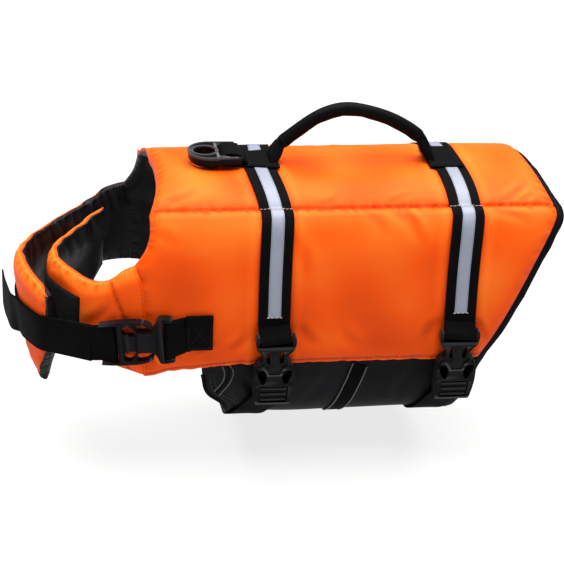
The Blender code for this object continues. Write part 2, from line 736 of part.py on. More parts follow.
def upright_frames(path, ups):
    """Directions across and out of a strip that stands on edge, going round the chest."""
    run = np.gradient(path, axis=0)
    run /= np.linalg.norm(run, axis=1)[:, None]
    sides, normals = [], []
    for r, up in zip(run, ups):
        side = up - r * np.dot(r, up)
        side /= np.linalg.norm(side)
        out = np.cross(side, r)
        if np.dot(out, (-1.0, -0.45, 0.0)) < 0.0:
            out = -out
        sides.append(side)
        normals.append(out)
    return np.array(sides), np.array(normals)


def make_chest_strap(start):
    """The strap from the buckle round the right flap, and its loose tail outside it."""
    path, ups = [start], [np.array([0.0, 0.0, 1.0])]
    for angle in STRAP_ANGLES:
        height = CHEST_STRAP_Z[0] + (CHEST_STRAP_Z[1] - CHEST_STRAP_Z[0]) * (126.0 - angle) / 72.0
        at, normal, up = flap_outer_at(angle, height)
        path.append(at + STRAP_OFF_FLAP * normal)
        ups.append(up)
    between = [0.25, 0.5, 0.75]
    path[1:1] = [path[0] + t * (path[1] - path[0]) for t in between]
    ups[1:1] = [ups[0] + t * (ups[1] - ups[0]) for t in between]
    path = np.array(path)
    sides, normals = upright_frames(path, ups)
    ribbon("chest_strap", path, sides, normals, CHEST_WEB, WEB_THICK, "black_webbing")
    held = path[:TAIL_LEAVES] + normals[:TAIL_LEAVES] * (WEB_THICK + 1.5 * GAP)
    tail = np.vstack([held, np.array(TAIL_FREE)])
    ups = list(ups[:TAIL_LEAVES]) + [np.array([0.0, 0.0, 1.0])] * len(TAIL_FREE)
    sides, normals = upright_frames(tail, ups)
    ribbon("chest_strap_tail", tail, sides, normals, CHEST_WEB, WEB_THICK, "black_webbing")


def make_flap_patch():
    """Hook-and-loop patch on the outer face of the left flap."""
    angles = np.linspace(41.0, 100.0, 9)
    grid = []
    for angle in angles:
        top = table_value(LEFT_FLAP_TOP, angle)
        low = table_value(LEFT_FLAP_HEM, angle)
        shares = [(z - top) / (low - top) for z in (-71.0, -90.0, -109.0)]
        grid.append([left_flap_face(angle, s) for s in shares])
    grid = np.array(grid)
    normals = grid_normals(grid, from_chest_middle)
    closed_panel("flap_patch", grid + 2.0 * normals, grid + 0.5 * normals, "hook_and_loop")


# Belly panel, its bands and straps

BELLY_LINE = smooth_line([(-y, z) for y, z in BELLY_CURVE]
                         + [(y, z) for y, z in BELLY_CURVE[-2::-1]], 8)
BELLY_LENGTH = lengths_along(BELLY_LINE)


def belly_section(length):
    """Point and outward normal (y, z) of the belly's outer face, from its left edge."""
    def at(value):
        return np.array([np.interp(value, BELLY_LENGTH, BELLY_LINE[:, k]) for k in (0, 1)])
    run = at(length + 1.5) - at(length - 1.5)
    run /= np.linalg.norm(run)
    return at(length), np.array([run[1], -run[0]])


def belly_rows():
    half = 0.5 * BELLY_LENGTH[-1]
    left = np.concatenate([np.linspace(0.0, 40.0, 4), np.linspace(40.0, 92.0, 7)[1:]])
    middle = np.linspace(92.0, 2.0 * half - 92.0, 7)[1:-1]
    return np.concatenate([left, middle, 2.0 * half - left[::-1]])


def make_belly():
    rows = belly_rows()
    places = np.linspace(0.0, 1.0, 9)
    outer = np.zeros((len(places), len(rows), 3))
    inner = np.zeros_like(outer)
    for j, length in enumerate(rows):
        at, normal = belly_section(length)
        front = table_value(BELLY_FRONT, at[1])
        rear = table_value(REAR_EDGE, at[1]) - (1.5 if at[1] > BELLY_TUCK else 0.0)
        for i, place in enumerate(places):
            x = front + (rear - front) * place
            outer[i, j] = (x, at[0], at[1])
            under = at - BELLY_THICK * normal
            inner[i, j] = (x, under[0], under[1])
    closed_panel("belly_panel", outer, inner, "black_belly_cloth")


def belly_strip(name, lengths, centre, width, lift, thick, kind):
    """A strip lying across the belly's outer face, its middle at x = centre(length)."""
    path, normals = [], []
    for length in lengths:
        at, normal = belly_section(length)
        path.append((centre(length), at[0], at[1]))
        normals.append((0.0, normal[0], normal[1]))
    path = np.array(path)
    run = np.gradient(path, axis=0)
    run /= np.linalg.norm(run, axis=1)[:, None]
    sides = np.array([[1.0, 0.0, 0.0]] * len(path))
    stretch = 1.0 / np.sqrt(np.clip(1.0 - run[:, 0] ** 2, 0.2, 1.0))
    sides = sides * stretch[:, None]
    ribbon(name, path, sides, normals, width, thick, kind, lift)


def make_belly_straps():
    rows = belly_rows()
    total = BELLY_LENGTH[-1]
    for name, x in BUCKLE_X.items():
        shift = BELLY_STRAP_SHIFT[name]
        origin, across, down, out = buckle_frame(x)
        back = 0.5 * SOCKET_THICK + GAP + WEB_THICK
        lead = [origin + v * down - back * out for v in (44.0, 58.0)]

        def centre(length, x=x, shift=shift):
            near = np.clip((length - 44.0) / 40.0, 0.0, 1.0)
            far = np.clip((total - length - 25.0) / 70.0, 0.0, 1.0)
            return x + shift * min(near, far)

        lengths = [r for r in rows if 62.0 < r < total - 24.0]
        path = [np.array((x + 0.15 * shift * k, p[1], p[2])) for k, p in enumerate(lead)]
        make_leading_strap("belly_strap_" + name, path, lengths, centre)


def make_leading_strap(name, lead, lengths, centre):
    points, normals = list(lead), []
    for length in lengths:
        at, normal = belly_section(length)
        points.append(np.array((centre(length), at[0], at[1])) + 0.4 * np.array((0.0, normal[0], normal[1])))
    points = np.array(points)
    flat = points[:, 1:]
    run = np.gradient(flat, axis=0)
    run /= np.linalg.norm(run, axis=1)[:, None]
    normals = np.stack([np.zeros(len(run)), run[:, 1], -run[:, 0]], axis=1)
    sides = np.array([[1.0, 0.0, 0.0]] * len(points))
    ribbon(name, points, sides, normals, GIRTH_WEB, WEB_THICK, "black_webbing")


def make_belly_bands():
    rows = belly_rows()
    total = BELLY_LENGTH[-1]

    def slanted(length):
        side = min(length, total - length)
        return -4.0 - 14.0 * np.clip((side - 22.0) / 45.0, 0.0, 1.3)

    lengths = [24.5] + [r for r in rows if 27.0 < r < total - 27.0] + [total - 24.5]
    belly_strip("belly_band", lengths, slanted, 13.0, 0.35, 1.0, "black_webbing")


# Rear binding


def make_binding():
    """Bound edge round the whole rear opening, a rounded strip just behind the cloth."""
    line = []
    for share in BACK_ROWS:
        if abs(share) < 0.99:
            foam = back_outer(share) - back_inner(share)
            edge = back_inner(share) + 0.5 * PINCH * foam / np.linalg.norm(foam)
            line.append((back_rear_edge(share), edge[0], edge[1]))
    side = []
    hem = side_length_at(-126.3)
    for length in np.linspace(1.0, hem - 6.0, 10):
        at, normal = side_section(length)
        mid = at - (FOAM - 0.5 * PINCH) * normal
        side.append((table_value(REAR_EDGE, at[1]), mid[0], mid[1]))
    belly = []
    for length in belly_rows():
        at, normal = belly_section(length)
        if at[1] < -136.0 and at[0] > 1.0:
            mid = at - 0.5 * BELLY_THICK * normal
            belly.append((table_value(REAR_EDGE, at[1]), mid[0], mid[1]))
    belly.sort(key=lambda p: -p[1])
    at, normal = belly_section(0.5 * BELLY_LENGTH[-1])
    bottom = (table_value(REAR_EDGE, at[1]), 0.0, at[1] + 0.5 * BELLY_THICK)
    right = side + belly
    left = [(x, -y, z) for x, y, z in reversed(right)]
    ring = np.array(line + right + [bottom] + left)
    run = np.roll(ring, -1, axis=0) - np.roll(ring, 1, axis=0)
    run /= np.linalg.norm(run, axis=1)[:, None]
    points = []
    section = ((0.0, -2.6), (0.0, 2.6), (3.0, 3.1), (6.0, 2.3), (7.2, 0.0), (6.0, -2.3), (3.0, -3.1))
    for p, r in zip(ring, run):
        away = np.array([0.0, p[1], p[2] + 88.0])
        out = away - r * np.dot(r, away)
        out -= np.array([1.0, 0.0, 0.0]) * out[0]
        out /= np.linalg.norm(out)
        behind = np.cross(r, out)
        behind /= np.linalg.norm(behind)
        if behind[0] < 0.0:
            behind = -behind
        for along, aside in section:
            points.append(p + (2.6 * GAP + along) * behind + aside * out)
    wide = len(section)
    count = len(ring)
    faces = []
    for i in range(count):
        for j in range(wide):
            a, b = i * wide + j, i * wide + (j + 1) % wide
            c, d = ((i + 1) % count) * wide + (j + 1) % wide, ((i + 1) % count) * wide + j
            faces.append((a, b, c, d))
    add_object("rear_binding", mesh_from("rear_binding", points, faces), "black_binding")


# Handle


def loft(name, sections, kind):
    """A closed body through rings of points of equal count, with flat ends."""
    wide = len(sections[0])
    points = [p for ring in sections for p in ring]
    faces = [tuple(range(wide)), tuple(range((len(sections) - 1) * wide, len(sections) * wide))]
    for i in range(len(sections) - 1):
        for j in range(wide):
            k = (j + 1) % wide
            faces.append((i * wide + j, i * wide + k, (i + 1) * wide + k, (i + 1) * wide + j))
    return add_object(name, mesh_from(name, points, faces), kind)


def make_handle():
    line = smooth_line(HANDLE_LINE, 3)
    curve = bpy.data.curves.new("handle_sleeve", "CURVE")
    curve.dimensions = "3D"
    curve.bevel_depth = HANDLE_RADIUS * MM
    curve.bevel_resolution = 3
    curve.use_fill_caps = True
    spline = curve.splines.new("POLY")
    spline.points.add(len(line) - 1)
    for point, (x, z) in zip(spline.points, line):
        point.co = (x * MM, 0.0, z * MM, 1.0)
    sleeve = bpy.data.objects.new("handle_sleeve", curve)
    PART_COLLECTION.objects.link(sleeve)
    curve.materials.append(piece_material("handle_sleeve", "black_binding"))
    floor = CREST + 0.4 + WEB_THICK + GAP + TAPE_THICK + GAP
    for name, ends, foot in (("front", (line[0], line[1]), (-70.5, floor + 2.2)),
                             ("rear", (line[-1], line[-2]), (58.5, floor + 2.2))):
        away = (ends[0] - ends[1]) / np.linalg.norm(ends[0] - ends[1])
        top = ends[0] + away * GAP
        foot = np.array(foot)
        middle = 0.5 * (top + foot) + np.array([0.0, 0.4]) + away * 1.5
        path = [top, middle, foot]
        runs = [away, (foot - top) / np.linalg.norm(foot - top), np.array([0.0, -1.0])]
        sizes = ((4.6, 4.4), (3.8, 6.2), (3.2, 11.0))
        rings = []
        for at, run, (thin, wide) in zip(path, runs, sizes):
            turn = np.array([-run[1], run[0]])
            ring = []
            for k in range(10):
                angle = 2.0 * math.pi * k / 10
                sideways = turn * thin * math.cos(angle)
                ring.append((at[0] + sideways[0], wide * math.sin(angle), at[1] + sideways[1]))
            rings.append(ring)
        loft("handle_foot_" + name, rings, "black_webbing")
    make_base("handle_base_front", (-91.7, -66.0), (17.0, 22.0), floor)
    make_base("handle_base_rear", (55.0, 82.0), (24.0, 24.0), floor)


def make_base(name, ends, halves, floor):
    """A webbing patch over the strap crossing, bent to the back."""
    over, under = [], []
    for x, half in zip(np.linspace(ends[0], ends[1], 3), np.linspace(halves[0], halves[1], 3)):
        top, low = [], []
        for share in (-1.0, -0.6, -0.2, 0.2, 0.6, 1.0):
            y = share * half
            sag = CREST - back_outer(y / SEAM_OUT[0])[1]
            low.append((x, y, floor - sag))
            top.append((x, y, floor - sag + 1.6))
        over.append(top)
        under.append(low)
    closed_panel(name, np.array(over), np.array(under), "black_webbing")


# Lead ring


def make_lead_ring():
    front, rear = RING_FRONT, RING_REAR
    x_axis, z_axis = RING_AXIS
    round_end = [(front + 17.0 - 17.0 * math.cos(math.radians(a)), RING_HALF * math.sin(math.radians(a)))
                 for a in np.linspace(-90.0, 90.0, 13)]
    slot_x, slot_y = RING_SLOT
    back = [(rear - 3.0, RING_HALF - 0.4), (rear, 18.5), (rear, slot_y), (slot_x, slot_y - 0.6)]
    back += [(x, -y) for x, y in reversed(back)]
    outline = [(x - x_axis, y) for x, y in round_end + back]
    hole_x, radius = RING_HOLE
    hole = [(hole_x - x_axis + radius * math.cos(t), radius * 1.12 * math.sin(t))
            for t in np.linspace(0.0, 2.0 * math.pi, 20, endpoint=False)]
    frame = Matrix.Translation(Vector((x_axis, 0.0, z_axis)) * MM)
    ring = flat_plate("lead_ring", [outline, hole], RING_THICK, 1.0, frame)
    add_bar(ring, (0.0, -18.0, 0.0), (0.0, 18.0, 0.0), RING_BAR_RADIUS)
    make_ring_loop(x_axis, z_axis)


def make_ring_loop(x_axis, z_axis):
    """Webbing through the ring and round its bar, sewn to the front handle base."""
    outer = ((-92.0, 16.9), (-95.0, 19.6), (-98.0, 23.0), (-101.0, 23.7), (-106.0, 23.9), (-109.6, 22.6),
             (-111.2, 19.5), (-110.2, 16.2), (-107.0, 14.0), (-101.0, 13.0), (-96.0, 12.8), (-92.0, 12.8))
    inner = ((-96.4, 18.0), (-97.2, 19.2), (-98.6, 21.6), (-101.0, 22.3), (-105.6, 22.4), (-108.4, 21.4),
             (-109.6, 19.5), (-108.8, 17.2), (-106.4, 15.5), (-101.0, 14.6), (-97.6, 14.5), (-96.6, 15.2))
    half = 0.5 * CHEST_WEB - 0.2
    count = len(outer)
    points = []
    for y in (-half, half):
        points += [(x, y, z) for x, z in outer]
        points += [(x, y, z) for x, z in inner]
    faces = []
    for i in range(count):
        k = (i + 1) % count
        faces.append((i, k, k + 2 * count, i + 2 * count))
        faces.append((i + count, i + 3 * count, k + 3 * count, k + count))
        faces.append((i, i + count, k + count, k))
        faces.append((i + 2 * count, k + 2 * count, k + 3 * count, i + 3 * count))
    add_object("ring_loop", mesh_from("ring_loop", points, faces), "black_webbing")


clear_scene()
PART_COLLECTION, TOOLS_COLLECTION = make_collections()
make_back()
make_side("side_panel_left", -1.0, LEFT_HEM)
make_side("side_panel_right", 1.0, RIGHT_HEM)
make_flap("chest_flap_left", left_flap_face, LEFT_FLAP_TURN, 9)
make_flap("chest_flap_right", right_flap_face, RIGHT_FLAP_TURN, 14)
make_flap_patch()
make_belly()
make_belly_bands()
make_belly_straps()
make_binding()
make_girth_straps()
make_girth_buckles()
make_chest_fastening()
make_handle()
make_lead_ring()
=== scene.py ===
import json
import math

import bmesh
import bpy
import numpy as np
from mathutils import Matrix, Vector

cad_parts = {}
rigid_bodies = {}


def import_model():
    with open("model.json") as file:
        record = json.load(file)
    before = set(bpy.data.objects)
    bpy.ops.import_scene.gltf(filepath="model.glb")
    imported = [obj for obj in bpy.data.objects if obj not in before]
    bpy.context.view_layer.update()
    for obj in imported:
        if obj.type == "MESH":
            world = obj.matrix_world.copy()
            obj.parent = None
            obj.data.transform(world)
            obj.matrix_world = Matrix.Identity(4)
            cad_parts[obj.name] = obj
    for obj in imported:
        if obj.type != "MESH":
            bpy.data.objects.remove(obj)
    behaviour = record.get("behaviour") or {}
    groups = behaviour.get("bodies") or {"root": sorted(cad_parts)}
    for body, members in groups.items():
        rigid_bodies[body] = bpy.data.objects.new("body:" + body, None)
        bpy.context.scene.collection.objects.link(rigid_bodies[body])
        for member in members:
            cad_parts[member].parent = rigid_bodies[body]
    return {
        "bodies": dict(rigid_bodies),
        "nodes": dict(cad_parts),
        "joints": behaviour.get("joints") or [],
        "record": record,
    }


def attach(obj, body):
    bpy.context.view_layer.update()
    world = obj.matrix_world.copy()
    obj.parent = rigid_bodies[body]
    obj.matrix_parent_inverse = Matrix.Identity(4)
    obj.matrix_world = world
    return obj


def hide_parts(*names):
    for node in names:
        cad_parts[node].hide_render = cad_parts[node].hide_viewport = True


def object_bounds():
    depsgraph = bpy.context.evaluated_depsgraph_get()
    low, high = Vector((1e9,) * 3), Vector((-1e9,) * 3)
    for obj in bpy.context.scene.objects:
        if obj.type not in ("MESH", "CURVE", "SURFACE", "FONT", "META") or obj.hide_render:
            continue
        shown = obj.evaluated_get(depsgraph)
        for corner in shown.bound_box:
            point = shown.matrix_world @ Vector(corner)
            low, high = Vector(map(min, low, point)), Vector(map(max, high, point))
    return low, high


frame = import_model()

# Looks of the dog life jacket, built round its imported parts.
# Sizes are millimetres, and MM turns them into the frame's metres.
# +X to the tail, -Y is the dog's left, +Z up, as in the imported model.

CAD_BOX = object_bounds()
MM = 0.001

# Cloth, foam and webbing
FOAM = 11
PINCH = 4
WEB_THICK = 1.4
WEB_HALF = 0.5 * WEB_THICK
TAPE_THICK = 0.6
GIRTH_WEB = 25
CHEST_WEB = 30
TAPE_WIDE = 10
CLOTH_STEP = 1.5
STRIP_STEP = 1.2
CHEST_PITCH = 2.2
CHEVRON_PITCH = 1.7
CHEVRON_WIDE = 3.2

# Thread: pitch, stitch length and thickness, its slot, and its dark and light colour
THREAD_LOOKS = {
    # The orange thread is coloured far darker than the orange cloth: painted shade in its stitch holes.
    "orange_thread": (3.4, 2.7, 0.42, "orange_cloth", (0.2, 0.010, 0.001), (0.42, 0.030, 0.002)),
    "black_thread": (2.8, 2.2, 0.4, "black_webbing", (0.004, 0.004, 0.005), (0.014, 0.014, 0.016)),
    "pale_thread": (2.6, 2.5, 0.55, "reflective_tape", (0.6, 0.42, 0.33), (0.85, 0.7, 0.6)),
    "grey_thread": (2.6, 2, 0.34, "black_webbing", (0.05, 0.05, 0.056), (0.14, 0.14, 0.15)),
}
STITCH_SEED = 5

# How far a panel's rolled edges reach in, and the seam between back and sides as (|y|, z): its two
# ends through the foam, and the way the side runs on from it
ROLL_ENDS = 13
ROLL_SEAM = 10
ROLL_HEM = 12
SEAM_IN = np.array([69.4, -7.9])
SEAM_OUT = np.array([71.8, -4.1])
SEAM_RUN = np.array([0.85, -0.53])
# Share of the foam by which the far shoulder's sewn edge lies outward, and the heights between
# which it moves there
SHOULDER_SEAM = 1
SHOULDER_LOW = -58
SHOULDER_HIGH = -34

# Back panel: height of its top, x of its two edges, and its lines of stitches
CREST = 12
BACK_FRONT_SEAM = -172
BACK_FRONT_MIDDLE = -163.5
BACK_REAR_MIDDLE = 143
BACK_REAR_SEAM = 146
BACK_STITCH = 2.6

# Side panels: the section as (|y|, z), x of an edge by z, z of a hem by x, and the rounded length
# and depth on which their rows and columns are spaced
SIDE_CURVE = ((75.4, 1.4), (84, -4.5), (91, -17), (95.5, -42), (97, -70),
              (96, -98), (92.5, -126.5), (90.2, -138))
FRONT_EDGE = ((0, -172), (-17, -173), (-28, -176.5), (-35, -181), (-39, -184),
              (-50, -180.8), (-62, -178.5), (-75, -177.3), (-95, -177), (-140, -177))
REAR_EDGE = ((0, 146), (-4, 145.6), (-11, 143), (-42.5, 128.8), (-77, 113.5),
             (-102, 102), (-130.5, 88), (-144, 84), (-160, 79), (-168, 74.5),
             (-190, 72.5))
LEFT_HEM = ((-185, -137), (-177, -136.2), (-160, -131.4), (-133, -129.2),
            (-110, -126.6), (-85, -126.3), (95, -126.3))
RIGHT_HEM = ((-185, -105), (-172, -106), (-156, -112.5), (-140, -120.5),
             (-122, -125.6), (-100, -126.3), (95, -126.3))
HEM = -126.3
HEM_STITCH = 5.6
SIDE_LONG = 300
SIDE_DEEP = 132

# Belly panel: its half section as (|y|, z), x of its front edge by z, its thickness, its rows of
# stitches and how far from its sides they end, how far in its slack begins and is full, and the
# width and thickness of its rolled front edge and of its band
BELLY_CURVE = ((83.3, -108), (82, -117), (80.6, -126), (79.9, -134), (78.8, -148),
               (73, -168), (60, -181), (40, -186.5), (0, -189.5))
BELLY_FRONT = ((-105, -130), (-140, -130), (-158, -123.5), (-165, -115),
               (-174, -110.5), (-190, -110))
BELLY_CLOTH = 1.6
BELLY_ROWS = (5, 9, 13)
BELLY_ROW_END = 30
BELLY_SLACK = (24, 44)
BELLY_ROLL = (3.6, 3.4)
BELLY_BAND = (13, 1.2)

# Chest flaps, by the angle in degrees from the side panel round the chest
CHEST_MIDDLE = -178
FLAP_DEEP = 70
FLAP_OVERLAP = 1.2
# The flat and the corner in their upper parts: how deep, and over what angle
FLAP_FLAT = (6, 26)
FLAP_CORNER = (2.4, 13)
# The hook-and-loop patch between them: its two angles, and its top and bottom
PILE_ANGLES = (41, 100)
PILE_HEIGHTS = (-71, -109)
LEFT_FLAP_START = -180
LEFT_FLAP_HALF = 97
LEFT_FLAP_DEEP = 70
LEFT_FLAP_RIGHT_HALF = 70
LEFT_FLAP_TURN = 158
LEFT_FLAP_TOP = ((0, -39), (13, -44.5), (24.5, -54), (30, -56.5), (60, -56.5),
                 (110, -57), (135, -54.5), (158, -46.5))
LEFT_FLAP_HEM = ((0, -135.4), (8, -129.5), (24.5, -122.5), (34, -121.5), (90, -121),
                 (136, -120.5), (144, -117.5), (151, -108.5), (158, -98))
# The inner flap's stitched line: share along it, half width, slant, and where the slant ends
CHANNEL_AT = 0.085
CHANNEL_HALF = 5
CHANNEL_SLANT = 0.32
CHANNEL_UPPER = 34
# Share of the foam kept where a flap joins its side panel, and the outer flap's blunt end
JOINT_FULL = 0.55
BLUNT_END = 1.6
END_FOLD_ROWS = 4

RIGHT_FLAP_CENTRE = (CHEST_MIDDLE, -15)
RIGHT_FLAP_DEEP = 98
RIGHT_FLAP_SIDE = 110
RIGHT_FLAP_END = 94
RIGHT_FLAP_TURN = 131
RIGHT_FLAP_TOP = ((0, -37), (13, -41), (20, -46.5), (43, -54), (70, -57),
                  (90, -58), (107, -60.5), (118, -64), (131, -69))
RIGHT_FLAP_HEM = ((0, -105), (20, -105.5), (43, -107.5), (70, -111.5), (90, -114.5),
                  (104, -117.5), (118, -128), (131, -139))
RIGHT_FLAP_LEAN = 4
# The outer flap's lower end: degrees cut off it, and how much lower its hem hangs between two angles
RIGHT_FLAP_CUT = 12
RIGHT_FLAP_DROP = 9.5
RIGHT_FLAP_DROPS = (80, 98)

# Girth straps: name, then x at the crest, at the seam and half way down the side
GIRTH_STRAPS = (("front", -81.4, -75.3, -77.6), ("rear", 72, 73.5, 69.4))
GIRTH_STRAP_END = -88
TAPE_END = -84.5
WEB_SUNK = 0.15

# Buckles: x of the girth buckles, height of their top, a point behind them as (|y|, z), lean, length,
# thicknesses of plug and socket, and radius of the bars
BUCKLE_X = {"front": -76.5, "rear": 68.5}
BUCKLE_TOP = -101.5
BUCKLE_BACK = (95.2, -114)
BUCKLE_LEAN = 0.25
BUCKLE_LONG = 62
PLUG_THICK = 8
SOCKET_THICK = 10.5
BAR_RADIUS = 1.7
# How far a buckle's outside and its inside lie past the webbing's edge
BUCKLE_WALL = 2.8
WEB_PLAY = 0.5
# How far forward a belly strap slants under the belly, and how far it hangs off the cloth
BELLY_STRAP_SHIFT = {"front": -22, "rear": -16}
BELLY_STRAP_LIFT = 1

# Chest buckle, its bars along it, its tab, and the strap round the chest with its loose tail
CHEST_BARS = (11.9, 54.6)
CHEST_BUCKLE_RIGHT = (-152.5, -105.6, -94)
CHEST_BUCKLE_RUN = (-61, 7.9, -5)
CHEST_TAB = (-125, -146)
CHEST_LINE = -92.5
STRAP_ANGLES = range(126, 53, -8)
CHEST_STRAP_Z = (-101, -94)
STRAP_OFF_FLAP = 0.8
TAIL_LEAVES = 8
TAIL_LOW = 4.5
STRAP_SAG = 4
TAIL_FREE = ((-278.8, -20, -99.6), (-281.8, 0, -101), (-284.2, 19, -102.3),
             (-285.7, 38, -103))

# Rear binding: its section, behind the cloth's edge and aside from it, and its stitches
BINDING_HALF = ((-2.6, 1.3), (-2.9, 2.3), (-2.4, 2.9), (-0.4, 2.9), (2.2, 2.5), (4.4, 1.9), (5.7, 0.9))
BINDING_SECTION = (*BINDING_HALF, (6.1, 0),
                   *((back, -aside) for back, aside in reversed(BINDING_HALF)), (-1.4, 0))
BINDING_STITCH = 2.95
# Height round which the binding faces outward, and where the belly's own edge begins
RING_MIDDLE = -88
BELLY_EDGE = -136

# Handle: the sleeve's middle as (x, z)
HANDLE_LINE = ((-63.3, 26.2), (-55.6, 32.3), (-40, 44), (-26, 51.2), (-10, 54.3),
               (8, 51.6), (24.9, 45.6), (39, 38), (50.5, 30.2))
HANDLE_RADIUS = 5.6
HANDLE_RISE = 0.9
# Where its feet stand, and each patch's two ends along x with the half width there
FOOT_X = {"front": -70.5, "rear": 58.5}
HANDLE_PATCHES = {"front": ((-91.7, -66), (17, 22)), "rear": ((55, 82), (24, 24))}

# Lead ring: x and z of its bar and the bar's half length and radius, (x, radius) of its hole,
# (x, half width) of its slot, and its webbing loop as (x, z)
RING_FRONT = -137
RING_HALF = 21
RING_REAR = -95.5
RING_ROUND = 17
RING_AXIS = (-100.5, 19.5)
RING_BAR = (18, 2.4)
RING_THICK = 6
RING_HOLE = (-124.2, 8.9)
RING_SLOT = (-112.9, 15.5)
RING_SKIRT = 2.4
RING_LOOP_LINE = ((-90.5, 14.9), (-93.2, 17.4), (-95.8, 19.9), (-98.4, 22.4), (-101, 23.3),
                  (-106.4, 23.5), (-110.2, 22.3), (-111.7, 19.5), (-110.6, 16.4), (-107, 14.6),
                  (-101, 13.8), (-96, 13.6), (-90.5, 13.5))

# Camera at the photo's angle: turn, height and tilt in degrees, then where it looks
CAMERA_TURN = -8.5
CAMERA_HEIGHT = 23
CAMERA_TILT = 2
CAMERA_AWAY = 1.46
CAMERA_LOOKS_AT = (-0.058, 0, -0.0935)
CAMERA_LENS = 112.8
FLOOR_DROP = 0.034
FLOOR_HALF = 12


# Camera, light and floor


def make_camera():
    """The camera at the photo's angle."""
    az, el, tilt = (math.radians(v) for v in (CAMERA_TURN, CAMERA_HEIGHT, CAMERA_TILT))
    back = Vector((math.sin(az) * math.cos(el), -math.cos(az) * math.cos(el), math.sin(el)))
    right = Vector((math.cos(az), math.sin(az), 0))
    up = back.cross(right)
    across = math.cos(tilt) * right + math.sin(tilt) * up
    upward = math.cos(tilt) * up - math.sin(tilt) * right
    place = Vector(CAMERA_LOOKS_AT) + CAMERA_AWAY * back
    camera = link_piece("camera", bpy.data.cameras.new("camera"))
    camera.data.lens = CAMERA_LENS
    camera.data.sensor_width = 36
    camera.data.clip_start = 0.05
    camera.matrix_world = Matrix([[*row, at] for row, at in zip(zip(across, upward, back), place)]
                                 + [[0, 0, 0, 1]])
    bpy.context.scene.camera = camera


def make_light(kind, place, power, colour, **shape):
    """A light that shines from its place to where the camera looks."""
    lamp = bpy.data.lights.new(kind.lower() + "_light", kind)
    lamp.energy = power
    lamp.color = colour
    for key, value in shape.items():
        setattr(lamp, key, value)
    obj = link_piece(lamp.name, lamp)
    obj.location = place
    obj.rotation_euler = (Vector(CAMERA_LOOKS_AT) - Vector(place)).to_track_quat("-Z", "Y").to_euler()


def make_studio():
    """Pale surroundings, a broad light nearly overhead, a soft one in front, and a pale floor."""
    world = bpy.data.worlds.new("studio")
    world.use_nodes = True
    sky = world.node_tree.nodes["Background"].inputs
    sky["Color"].default_value = (1, 1, 1, 1)
    sky["Strength"].default_value = 0.12
    bpy.context.scene.world = world
    bpy.context.scene.view_settings.view_transform = "Standard"
    overhead = Vector(CAMERA_LOOKS_AT) + Vector((0.06, 0.1, 1))
    make_light("SUN", overhead, 7.9, (1, 0.98, 0.95), angle=math.radians(80))
    make_light("AREA", (-0.55, -1.7, 0.9), 2.3, (1, 0.99, 0.98), shape="RECTANGLE", size=1, size_y=0.7)
    mesh = bpy.data.meshes.new("floor")
    wide, low = FLOOR_HALF, CAD_BOX[0].z - FLOOR_DROP
    mesh.from_pydata([(-wide, -wide, low), (wide, -wide, low), (wide, wide, low), (-wide, wide, low)],
                     [], [(0, 1, 2, 3)])
    paint = new_finish("pale_floor", 0.95, 0, Base_Color=(0.17, 0.17, 0.17, 1),
                       Emission_Color=(1, 1, 1, 1), Emission_Strength=0.79)
    mesh.materials.append(paint[0])
    link_piece("floor", mesh)


# Materials


def add_node(tree, kind, values=(), **settings):
    """A node with its settings, its inputs set to plain values or linked from sockets."""
    made = tree.nodes.new(kind)
    for key, value in settings.items():
        setattr(made, key, value)
    for socket, value in dict(values).items():
        if isinstance(value, bpy.types.NodeSocket):
            tree.links.new(value, made.inputs[socket])
        else:
            made.inputs[socket].default_value = value
    return made


def new_finish(name, rough, shine, **constants):
    """A material, its node tree, and paint, which leads a value to one of its shader's sockets."""
    finish = bpy.data.materials.new(name)
    finish.use_nodes = True
    shader = finish.node_tree.nodes["Principled BSDF"]
    shader.inputs["Roughness"].default_value = rough
    shader.inputs["Specular IOR Level"].default_value = shine
    for socket, value in constants.items():
        shader.inputs[socket.replace("_", " ")].default_value = value

    def paint(socket, value):
        finish.node_tree.links.new(value, shader.inputs[socket])

    return finish, finish.node_tree, paint


def math_node(operation, first, second=0):
    """A sum of one kind on the tree that the first socket is in."""
    return add_node(first.id_data, "ShaderNodeMath", {0: first, 1: second}, operation=operation).outputs[0]


def times(first, second):
    return math_node("MULTIPLY", first, second)


def plus(first, second):
    return math_node("ADD", first, second)


def object_place(tree):
    return add_node(tree, "ShaderNodeTexCoord").outputs["Object"]


def painted(tree, name):
    """The value that a piece's points hold under this name."""
    return add_node(tree, "ShaderNodeAttribute", attribute_name=name).outputs["Fac"]


def mixed(share, first, second):
    """Colour between two, by a share. Each is a socket, or its red, green and blue."""
    first, second = (value if isinstance(value, bpy.types.NodeSocket) else (*value, 1)
                     for value in (first, second))
    values = {0: share, 6: first, 7: second}
    return add_node(share.id_data, "ShaderNodeMix", values, data_type="RGBA").outputs[2]


def noise(vector, scale, detail=3, rough=0.55):
    values = {"Vector": vector, "Scale": scale, "Detail": detail, "Roughness": rough}
    return add_node(vector.id_data, "ShaderNodeTexNoise", values).outputs["Fac"]


def ranged(value, low, high, to_low, to_high):
    """The value moved from one range to another, and held inside it."""
    values = {0: value, 1: low, 2: high, 3: to_low, 4: to_high}
    return add_node(value.id_data, "ShaderNodeMapRange", values).outputs[0]


def cloth_axes(tree):
    """The cloth's own two directions in metres, from its UV map."""
    uv = add_node(tree, "ShaderNodeUVMap", uv_map="cloth").outputs["UV"]
    parts = add_node(tree, "ShaderNodeSeparateXYZ", {0: uv})
    return uv, parts.outputs["X"], parts.outputs["Y"]


def plain_weave(u, v, pitch):
    """Over and under of a plain weave."""
    first, second = (math_node("SINE", times(way, math.pi / (pitch * MM))) for way in (u, v))
    return ranged(times(first, second), -1, 1, 0, 1)


